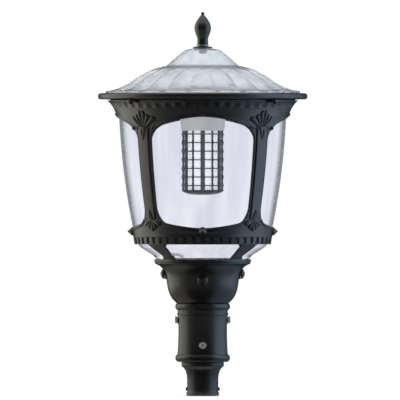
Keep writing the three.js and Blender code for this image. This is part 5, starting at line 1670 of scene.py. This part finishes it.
@dataclass
class Gear:
    """What feeds the column: tray, gear plate with driver and terminal block, lead and small screws."""

    globe: Globe
    lead_azimuth: float = 228.6
    lead_radius: float = 4.0
    lead_hole: float = 7.5
    tray_bore: float = 22.3
    tray_rim: float = 188.5
    tray_radius: float = 203.8
    tray_sheet: float = 3.0
    plate_radius: float = 86.0
    tray_screw_at: float = 194.8
    plate_screw_at: float = 81.0
    lead_foot_at: float = 65.34
    lead_top_at: float = 177.8

    def tray(self) -> Skin:
        """The tray: a sheet disc with a rim turned down inside the ledge."""
        base, top = span_of("gear_tray")
        floor, rim, inside = top - self.tray_sheet, self.tray_rim, self.tray_rim - self.tray_sheet
        return turned(filleted([
            [self.tray_bore, floor], [inside, floor], [inside, base], [rim, base], [rim, floor],
            [self.tray_radius, floor], [self.tray_radius, top], [self.tray_bore, top],
        ], [0.5, 2.5, 0.6, 0.6, 1, 0.6, 1.2, 0.5]), 192)

    def lead_route(self) -> np.ndarray:
        """The lead's route in its upright plane: the same points as the CAD model's, by radius and height."""
        lens = np.array([[111.6, 328.2], [117.06, 336.1], [130.92, 345.43], [148.56, 356.92]])
        g = self.globe
        ring = 153.6 - 3.0 - 4.0 - 1.5
        post = [float(g.frame(z)) - 12.0 - 4.0 - 1.5 for z in (478.75, 532.5)]
        foot, top = self.lead_foot_at, self.lead_top_at
        run = 689.6 + 5.5
        return np.array([
            [foot, 312.2], [foot, 328.2], [foot + 1.5, 335.2], [foot + 16, 339.2],
            [lens[1, 0] - 11, lens[1, 1] + 4], [lens[2, 0] - 11, lens[2, 1] + 4],
            [lens[3, 0] - 11, lens[3, 1] + 4], [ring, 380.1], [ring, 397.7], [post[0], 478.75],
            [post[1], 532.5], [top, 640.0], [top, 686.6], [top - 1.5, 693.6], [top - 8, 697.6],
            [top - 32, run + 1.5], [top - 48, run], [top / 2, run], [61.0, run], [29.0, run + 8],
            [22.0, 705.6], [9.0, 705.6], [4.0, 693.6], [4.0, 670.6],
        ])

    def lead(self) -> Skin:
        """The lead as a tube along its smoothed route."""
        line = flowing(self.lead_route(), 6)
        return tube(place(line[:, 0], self.lead_azimuth, line[:, 1]), self.lead_radius - 0.15)

    def block(self, node: str, rounding: float, ribs: int) -> Skin:
        """A moulded case: a rounded rectangle, drafted towards its foot, with shallow upright ribs.

        Args:
            node: The CAD node whose place it takes.
            rounding: The radius of its upright edges.
            ribs: Ribs round it.

        Returns:
            The case's skin.
        """
        low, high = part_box(node)
        x0, y0, z0 = (c / MM for c in low)
        x1, y1, z1 = (c / MM for c in high)
        corners = filleted([[x0, y0], [x1, y0], [x1, y1], [x0, y1]], rounding * 1.4, 8)
        middle = np.array([(x0 + x1) / 2, (y0 + y1) / 2])
        share = np.linspace(0, 1, 4 * ribs, endpoint=False)
        closed = np.vstack([corners, corners[:1]])
        run = np.concatenate([[0], np.cumsum(np.linalg.norm(np.diff(closed, axis=0), axis=1))])
        line = np.stack([np.interp(share * run[-1], run, closed[:, k]) for k in (0, 1)], axis=1)
        rib = 0.5 * (np.arange(len(line)) % 4 < 2)
        out = (line - middle) / np.linalg.norm(line - middle, axis=1, keepdims=True)
        flat = line - out * 1.0
        ribbed = line - out * (0.1 + rib[:, None])
        levels = [(z0, 2.2, flat), (z0 + 1.2, 0.9, flat), (z0 + 2.4, 0.3, ribbed),
                  (z1 - 4.0, 0.0, ribbed), (z1 - 3.0, 0.0, flat), (z1 - 0.8, 0.0, flat), (z1, 0.9, flat)]
        return stacked(np.stack([np.column_stack([ring - out * inset, np.full(len(ring), z)])
                                 for z, inset, ring in levels]))

    def build(self) -> None:
        """Makes tray, plate, driver, block, lead and their screws."""
        lead_top = place(self.lead_top_at - 1.5, self.lead_azimuth, 0.0)
        make_piece("tray_sheet", [self.tray()], WHITE_ENAMEL, Slot.WHITE, replaces="gear_tray",
                   cutters=(moved(rod(self.lead_hole, 680, 695), *lead_top),))
        base, top = span_of("gear_plate")
        lead_foot = place(self.lead_foot_at + 1.5, self.lead_azimuth, 0.0)
        disc = band(0, self.plate_radius, base, top, [0, 0.9, 0.9, 0], 144)
        make_piece("gear_plate_sheet", [disc], WHITE_ENAMEL, Slot.WHITE, replaces="gear_plate",
                   cutters=(moved(rod(self.lead_hole, base - 5, top + 5), *lead_foot),))
        make_piece("driver_case", [self.block("led_driver", 5, 22)], DRIVER_CASE, Slot.CASE,
                   replaces="led_driver")
        make_piece("terminal_body", [self.block("terminal_block", 2.5, 10)], NATURAL_NYLON, Slot.NYLON,
                   replaces="terminal_block")
        make_piece("lead_sheath", [self.lead()], PVC_SHEATH, Slot.RUBBER, replaces="column_lead",
                   crease=60)
        screw = pan_screw(6.0).skin()
        for prefix, at in (("tray_screw", self.tray_screw_at), ("plate_screw", self.plate_screw_at)):
            for i, azimuth in enumerate((90.0, 270.0)):
                node = f"{prefix}_{i + 1}"
                spot = place(at, azimuth, span_of(node)[1] - PAN_HEIGHT)
                make_piece(f"{node}_pan_head", [moved(screw, *spot)], STAINLESS_STEEL, Slot.STAINLESS,
                           replaces=node)


@dataclass
class Roof:
    """The roof: plate with its raised rim and knuckle, gasket, clear fluted dome, pin and captive screws."""

    rim_radius: float = 251.3
    rim_width: float = 14.3
    rim_height: float = 14.2
    plate: float = 4.7
    bore: float = 192.1
    petals: int = 20
    petal_steps: int = 18
    petal_depth: float = 6.5
    foot_radius: float = 233.0
    foot_width: float = 19.0
    wall: float = 4.0
    stud_hole: float = 5.3
    crown_height: float = 834.0
    arch_foot: float = 97.0
    arch_rise: float = 10.0
    arch_run: float = 30.0
    rim_start: float = 190.0
    rim_run: float = 38.0
    fastening: RoofFastening = RoofFastening()
    eye_width: float = 26.0
    heel: float = 11.5
    drop: float = 10.5

    def plate_skin(self) -> Skin:
        """The plate: a flat annulus with a rim that is rounded over on both sides."""
        base = span_of("roof_seal")[1] + GAP
        floor, top = base + self.plate, base + self.rim_height
        inside = self.rim_radius - self.rim_width
        return turned(filleted([
            [self.bore, base], [self.rim_radius - 2.4, base], [self.rim_radius, base + 3.4],
            [self.rim_radius, top - 3.6], [self.rim_radius - 3.6, top], [inside + 3.0, top],
            [inside, floor], [self.bore, floor],
        ], [1.2, 2.0, 2.6, 2.8, 3.2, 2.4, 1.6, 1.2], 5), 256)

    def knuckle(self) -> Skin:
        """The knuckle under the rim at the rear: it goes down to the hinge's axis, its heel cut away."""
        axis, eye, heel, drop = self.fastening, self.fastening.eye_radius, self.heel, self.drop
        outline = np.array([
            [-eye, drop + 0.3], [-eye, -heel + eye], [-eye / 2, -heel], [eye / 2, -heel], [eye, 0],
            [eye, drop + 0.3],
        ])
        outline = filleted(outline, [0, 2, 2, 3, 3, 0], 4) + [axis.radius, axis.height]
        return prism(outline, self.eye_width, 0.8)

    def outer_line(self) -> np.ndarray:
        """The dome's outer line at a petal's middle, from the stud's hole out and down to the foot."""
        crown = flowing(np.array([
            [self.stud_hole, self.crown_height], [14.0, 833.9], [26.0, 833.4], [34.0, 832.2], [41.5, 829.6],
            [53.8, 820.8], [65.4, 811.2], [76.6, 801.6], [86.9, 792.6],
        ]), 6)
        step = np.array([[88.6, 791.7], [93.0, 791.0], [96.6, 790.6]])
        skirt = flowing(np.array([
            [98.4, 789.6], [107.0, 787.6], [116.8, 784.6], [124.0, 782.2], [133.5, 777.6], [151.2, 768.0],
            [165.8, 758.4], [180.2, 748.8], [190.6, 743.4], [201.8, 738.8], [214.0, 734.8], [226.0, 732.4],
        ]), 5)
        return np.concatenate([crown, step, skirt])

    def sunk(self, radius: np.ndarray, height: np.ndarray, square: np.ndarray,
             azimuth: np.ndarray) -> tuple[np.ndarray, np.ndarray, np.ndarray]:
        """Where the dome's skin lies once a petal's drop is taken from its unfluted line.

        Args:
            radius: The line's radii.
            height: The line's heights.
            square: How far across the petal, squared: nought at its middle and one at a valley.
            azimuth: Azimuths in degrees, passed on.

        Returns:
            Radius, azimuth and height.
        """
        arch = np.clip((radius - self.arch_foot - self.arch_rise * square) / self.arch_run, 0, 1)
        rim = np.clip((radius - self.rim_start) / self.rim_run, 0, 1)
        fade = np.sin(math.pi / 2 * arch) ** 2 * (1 - 0.7 * rim ** 1.5)
        drop = self.petal_depth * square * fade
        return radius - 0.35 * drop, azimuth, height - 0.94 * drop

    def dome(self) -> Skin:
        """The dome, with petals that swell between sharp valleys and end in arches under the crown.

        Across a petal, with u from -1 to 1 between valleys, the surface drops by the depth times u
        squared. That drop fades in along the skirt as the square of a sine, from an arch: the place
        where it starts moves outwards with u squared. The inside has the same petals on a line that lies
        one wall behind the outer one, along its normal.

        Returns:
            The dome's skin.
        """
        steps = self.petals * self.petal_steps
        azimuths = np.arange(steps) * FULL_TURN / steps
        u = ((azimuths / FULL_TURN * self.petals + 0.5) % 1.0) * 2 - 1
        line = self.outer_line()
        radius, height = line[None, :, 0], line[None, :, 1]
        outer = place(*self.sunk(radius, height, (u ** 2)[:, None], azimuths[:, None]))
        tangent = np.gradient(line, axis=0)
        normal = np.stack([-tangent[:, 1], tangent[:, 0]], axis=1)
        normal /= np.linalg.norm(normal, axis=1, keepdims=True)
        hollow = line - self.wall * normal
        hollow[0] = self.stud_hole, self.crown_height - self.wall
        inner = place(*self.sunk(hollow[:, 0], hollow[:, 1], (u ** 2)[:, None], azimuths[:, None]))
        base = span_of("dome")[0]
        inside = self.foot_radius - self.foot_width
        keep = line[:, 0] < inside - 2.0
        foot = filleted([[226.0, 732.4], [self.foot_radius, 731.2], [self.foot_radius, base],
                         [inside, base], [inside, 730.0]], [0, 1.6, 1.0, 1.0, 0])[4:-4]
        foot = np.broadcast_to(place(foot[:, 0], azimuths[:, None], foot[:, 1]), (steps, len(foot), 3))
        points = np.concatenate([outer, foot, inner[:, keep][:, ::-1]], axis=1)
        return sealed(points, [quads(steps, points.shape[1], True, True)])

    def build(self) -> None:
        """Makes the roof's pieces on the roof's body, and the pin and captive screws."""
        roof = Body.ROOF.value
        make_piece("roof_plate_casting", [self.plate_skin()], body=roof, replaces="roof_plate",
                   cutters=self.fastening.screw_holes(705.0, 720.6))
        make_piece("hinge_knuckle", [self.knuckle()], body=roof, cutters=(self.fastening.pin_hole(30.0),))
        inside = self.foot_radius - self.foot_width
        gasket = band(inside, self.foot_radius, *span_of("dome_gasket"), 0.6, 192)
        make_piece("dome_gasket_ring", [gasket], EPDM_RUBBER, Slot.RUBBER, roof, "dome_gasket")
        make_piece("fluted_dome", [self.dome()], FROSTED_POLYCARBONATE, Slot.CLEAR, body=roof,
                   replaces="dome", crease=28)
        low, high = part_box("hinge_pin")
        pin = self.fastening.pin(self.fastening.pin_radius, (high.x - low.x) / 2 / MM, 0.8)
        make_piece("pin", [pin], STAINLESS_STEEL, Slot.STAINLESS, replaces="hinge_pin")
        for side, azimuth in self.fastening.sides:
            node = f"roof_screw_{side}"
            low, high = span_of(node)
            screw = Screw(self.fastening.screw_radius, high - low - 3.75, 4.8, 3.75, 0.6, socket=2.0)
            spot = place(self.fastening.screw_at, azimuth, low + screw.head_height)
            make_piece(f"captive_screw_{side}", [moved(upside_down(screw.skin()), *spot)], BLACK_OXIDE,
                       Slot.BLACK_STEEL, node, node)


@dataclass
class Finial:
    """The turned finial over the crown, with its neck ring, flange, stud and the nut under the crown."""

    stud: float = 5.0
    nut_radius: float = 9.2
    ring_radius: float = 14.4
    flange_radius: float = 24.0

    def outline(self) -> np.ndarray:
        """The finial's line from its stud up over the waist and the belly to the bead at its tip."""
        foot, top = span_of("finial")
        base = span_of("finial_ring")[1] + GAP
        belly = flowing(np.array([
            [13.3, base + 0.6], [13.0, 848.5], [12.9, 853.0], [13.1, 858.4], [14.9, 864.0], [17.0, 869.4],
            [18.7, 874.4], [19.7, 879.4], [19.9, 884.0], [19.2, 888.8], [17.9, 893.0], [15.6, 898.0],
            [12.8, 902.8], [9.7, 907.2], [6.7, 911.2], [4.4, 913.4],
        ]), 5)
        sweep = np.linspace(-0.9, math.pi / 2, 12)
        radius = (top - 914.2) / 2
        bead = np.stack([4.1 * np.cos(sweep), top - radius + radius * np.sin(sweep)], axis=1)
        bead[-1, 0] = 0.0
        return np.concatenate([[[0, foot], [self.stud - 0.6, foot], [self.stud, foot + 0.8],
                                [self.stud, base], [12.9, base]], belly, bead])

    def build(self) -> None:
        """Makes finial, ring, flange and nut, all on the roof."""
        roof = Body.ROOF.value
        make_piece("finial_turning", [turned(self.outline(), 96)], body=roof,
                   replaces="finial", crease=40)
        bore, outer = self.stud + GAP, self.flange_radius
        ring = band(bore, self.ring_radius, *span_of("finial_ring"), [0.2, 1.6, 1.6, 0.2], 96, 6)
        make_piece("neck_ring", [ring], SATIN_CHROME, Slot.STAINLESS, roof, "finial_ring")
        base, top = span_of("finial_flange")
        flange = [[bore, base], [outer, base], [outer, base + 1.8], [outer - 4.5, top], [bore, top]]
        make_piece("crown_flange", [turned(filleted(flange, [0.2, 0.8, 1.0, 2.0, 0.2], 5), 96)], body=roof,
                   replaces="finial_flange")
        base, top = span_of("finial_nut")
        steps = np.arange(96) * FULL_TURN / 96
        flats = hexagon(self.nut_radius * math.cos(math.pi / 6), steps)
        rounded = np.minimum(flats, self.nut_radius - 0.55)
        section = sections([(bore, base), (rounded, base), (flats, base + 0.9), (flats, top - 0.9),
                            (rounded, top), (bore, top)], 96)
        make_piece("hexagon_nut", [ringed(section, steps)], BLACK_OXIDE, Slot.BLACK_STEEL, roof,
                   "finial_nut", crease=25)


# A glossy card's section in metres: out along the floor, over its rim and up
FLOOR_TO_SKY = ((1.1, 0.003), (2.9, 0.003), (4.0, 0.2), (4.0, 5.0))


@dataclass
class Studio:
    """Floor, world, lamps, the cards that gloss sees, and camera. Lengths are in metres here."""

    camera_distance: float = 30.0
    camera_shift_x: float = -0.00648
    camera_height: float = 0.4704
    framed_width: float = 0.96
    sensor: float = 36.0
    floor_radius: float = 3.0
    world_level: float = 0.7

    def world(self) -> None:
        """A white world for camera, gloss and glass, and a softer one for the light that it gives."""
        world = bpy.data.worlds.new("studio")
        bpy.context.scene.world = world
        world.use_nodes = True
        tree = world.node_tree
        tree.nodes.clear()
        seen = self.seen(tree)
        white = add_node(tree, "Background", values={"Color": linear("#FFFFFF"), "Strength": 1.0})
        soft = add_node(tree, "Background",
                        values={"Color": linear("#F4F6FA"), "Strength": self.world_level})
        mix = add_node(tree, "MixShader",
                       links={0: seen, 1: soft.outputs[0], 2: white.outputs[0]})
        add_node(tree, "OutputWorld", links={"Surface": mix.outputs[0]})

    def seen(self, tree: bpy.types.NodeTree) -> bpy.types.NodeSocket:
        """One where a camera, glossy or transmission ray looks, and nought for other rays."""
        path = add_node(tree, "LightPath")
        either = add_node(tree, "Math", settings={"operation": "MAXIMUM"},
                          links={0: path.outputs["Is Camera Ray"], 1: path.outputs["Is Glossy Ray"]})
        return add_node(tree, "Math", settings={"operation": "MAXIMUM"},
                        links={0: either.outputs[0], 1: path.outputs["Is Transmission Ray"]}).outputs[0]

    def floor(self) -> None:
        """A pale round floor that looks as white as the world and still takes the object's shadow."""
        made = blank_material("pale_floor")
        tree = made.node_tree
        plain = add_node(tree, "BsdfDiffuse", values={"Color": linear("#E6E6E6")})
        shade = add_node(tree, "BsdfDiffuse", values={"Color": linear("#8A8A8A")})
        glow = add_node(tree, "Emission", values={"Color": linear("#FFFFFF"), "Strength": 0.78})
        bright = add_node(tree, "AddShader", links={0: shade.outputs[0], 1: glow.outputs[0]})
        mix = add_node(tree, "MixShader",
                       links={0: self.seen(tree), 1: plain.outputs[0], 2: bright.outputs[0]})
        add_node(tree, "OutputMaterial", links={"Surface": mix.outputs[0]})
        turn = np.linspace(0, 2 * math.pi, 96, endpoint=False)
        rim = np.stack([self.floor_radius * np.cos(turn), self.floor_radius * np.sin(turn), 0 * turn], axis=1)
        self.sheet("floor", rim, [list(range(96))], made)

    def sheet(self, name: str, corners: np.ndarray, faces: list[list[int]],
              made: bpy.types.Material) -> bpy.types.Object:
        """Makes a surface of the studio, which is no piece of the lantern.

        Args:
            name: Its name.
            corners: Its corners in metres.
            faces: Its faces.
            made: Its material.

        Returns:
            The object.
        """
        mesh = bpy.data.meshes.new(name)
        mesh.from_pydata(corners.tolist(), [], faces)
        mesh.materials.append(made)
        sheet = bpy.data.objects.new(name, mesh)
        bpy.context.scene.collection.objects.link(sheet)
        return sheet

    def card(self, name: str, start: float, end: float, colour: str, strength: float = 1.0,
             outline: tuple[tuple[float, float], ...] = FLOOR_TO_SKY) -> None:
        """A curved card that only gloss sees, so that black metal has dark and light parts.

        Args:
            name: The card's name.
            start: The azimuth of its one edge.
            end: The azimuth of its other edge.
            colour: What it shows, as sRGB hex.
            strength: How bright that colour is.
            outline: Its section, as radius and height in metres.
        """
        section = np.array(outline)
        points = place(section[:, 0], np.linspace(start, end, 25)[:, None], section[:, 1])
        made = blank_material(name)
        plain = add_node(made.node_tree, "Emission",
                         values={"Color": linear(colour), "Strength": strength})
        add_node(made.node_tree, "OutputMaterial", links={"Surface": plain.outputs[0]})
        card = self.sheet(name, points.reshape(-1, 3), quads(*points.shape[:2]).tolist(), made)
        card.visible_camera = False
        card.visible_diffuse = False
        card.visible_transmission = False
        card.visible_shadow = False

    def lamp(self, name: str, place_at: tuple[float, float, float], size: tuple[float, float],
             power: float, colour: str) -> None:
        """A soft rectangular lamp that looks at the lantern's middle.

        Args:
            name: The lamp's name.
            place_at: Where it hangs.
            size: Its width and height.
            power: Its power in watts.
            colour: Its colour as sRGB hex.
        """
        data = bpy.data.lights.new(name, "AREA")
        data.shape = "RECTANGLE"
        data.size, data.size_y = size
        data.energy = power
        data.color = linear(colour)[:3]
        lamp = bpy.data.objects.new(name, data)
        bpy.context.scene.collection.objects.link(lamp)
        lamp.location = place_at
        target = np.array([0, 0, 0.5])
        away = np.array(place_at) - target
        flat = math.hypot(away[0], away[1])
        lamp.rotation_euler = (math.atan2(flat, away[2]), 0.0, math.atan2(away[0], -away[1]))
        lamp.visible_camera = False
        lamp.visible_glossy = False
        lamp.visible_transmission = False

    def camera(self) -> None:
        """A long lens at eye level with the middle of the lantern, as the photograph was taken."""
        data = bpy.data.cameras.new("camera")
        data.sensor_width = self.sensor
        data.lens = self.sensor * self.camera_distance / self.framed_width
        data.clip_start = 0.1
        data.clip_end = 200.0
        camera = bpy.data.objects.new("camera", data)
        bpy.context.scene.collection.objects.link(camera)
        camera.location = (self.camera_shift_x, -self.camera_distance, self.camera_height)
        camera.rotation_euler = (math.pi / 2, 0.0, 0.0)
        bpy.context.scene.camera = camera

    def build(self) -> None:
        """Sets up everything round the lantern."""
        bpy.context.scene.view_settings.view_transform = "Standard"
        self.world()
        self.floor()
        near, middle = ((0.06, 0.003), (0.6, 0.003)), ((0.6, 0.003), (1.1, 0.003))
        self.card("front_hearth", -58.0, 44.0, "#101112", outline=near)
        self.card("front_middle", -58.0, 44.0, "#5C5F62", outline=middle)
        self.card("left_hearth", 216.0, 302.0, "#9A978C", outline=near + middle[1:])
        self.card("right_hearth", 44.0, 144.0, "#8595A3", outline=near + middle[1:])
        self.card("rear_hearth", 144.0, 216.0, "#303234", outline=near + middle[1:])
        self.card("front_flag", -62.0, 44.0, "#030303", outline=FLOOR_TO_SKY[2:])
        self.card("front_apron", -62.0, 44.0, "#7A7D80", outline=FLOOR_TO_SKY[:3])
        self.card("left_dusk", 280.0, 298.0, "#F4F1E6", 0.3)
        self.card("left_card", 216.0, 280.0, "#F4F1E6", 1.3)
        self.card("right_dusk", 44.0, 60.0, "#CBE2FA", 0.35)
        self.card("right_card", 60.0, 118.0, "#CBE2FA", 1.3)
        self.card("right_wing", 118.0, 144.0, "#CBE2FA", 0.5)
        self.card("rear_flag", 144.0, 216.0, "#46494C")
        self.lamp("left_lamp", (-2.6, -1.0, 1.3), (1.4, 2.4), 40.0, "#FFF3E0")
        self.lamp("right_lamp", (2.6, -0.8, 1.1), (1.4, 2.4), 40.0, "#DCE9FF")
        self.lamp("top_lamp", (0.3, -0.6, 3.2), (2.2, 2.2), 40.0, "#FFFFFF")
        self.camera()


def main() -> None:
    """Builds the studio and then the lantern's classes in order, from the pole upwards."""
    logging.basicConfig(level=logging.INFO, format="%(name)s: %(message)s")
    Studio().build()
    base, top = span_of("pane_front")
    globe = Globe(base, top)
    PoleAdapter().build()
    Fitter().build()
    LowerFrame(globe).build()
    Windows(globe).build()
    UpperRing(globe).build()
    LedColumn().build()
    Gear(globe).build()
    Roof().build()
    Finial().build()


if __name__ == "__main__":
    main()
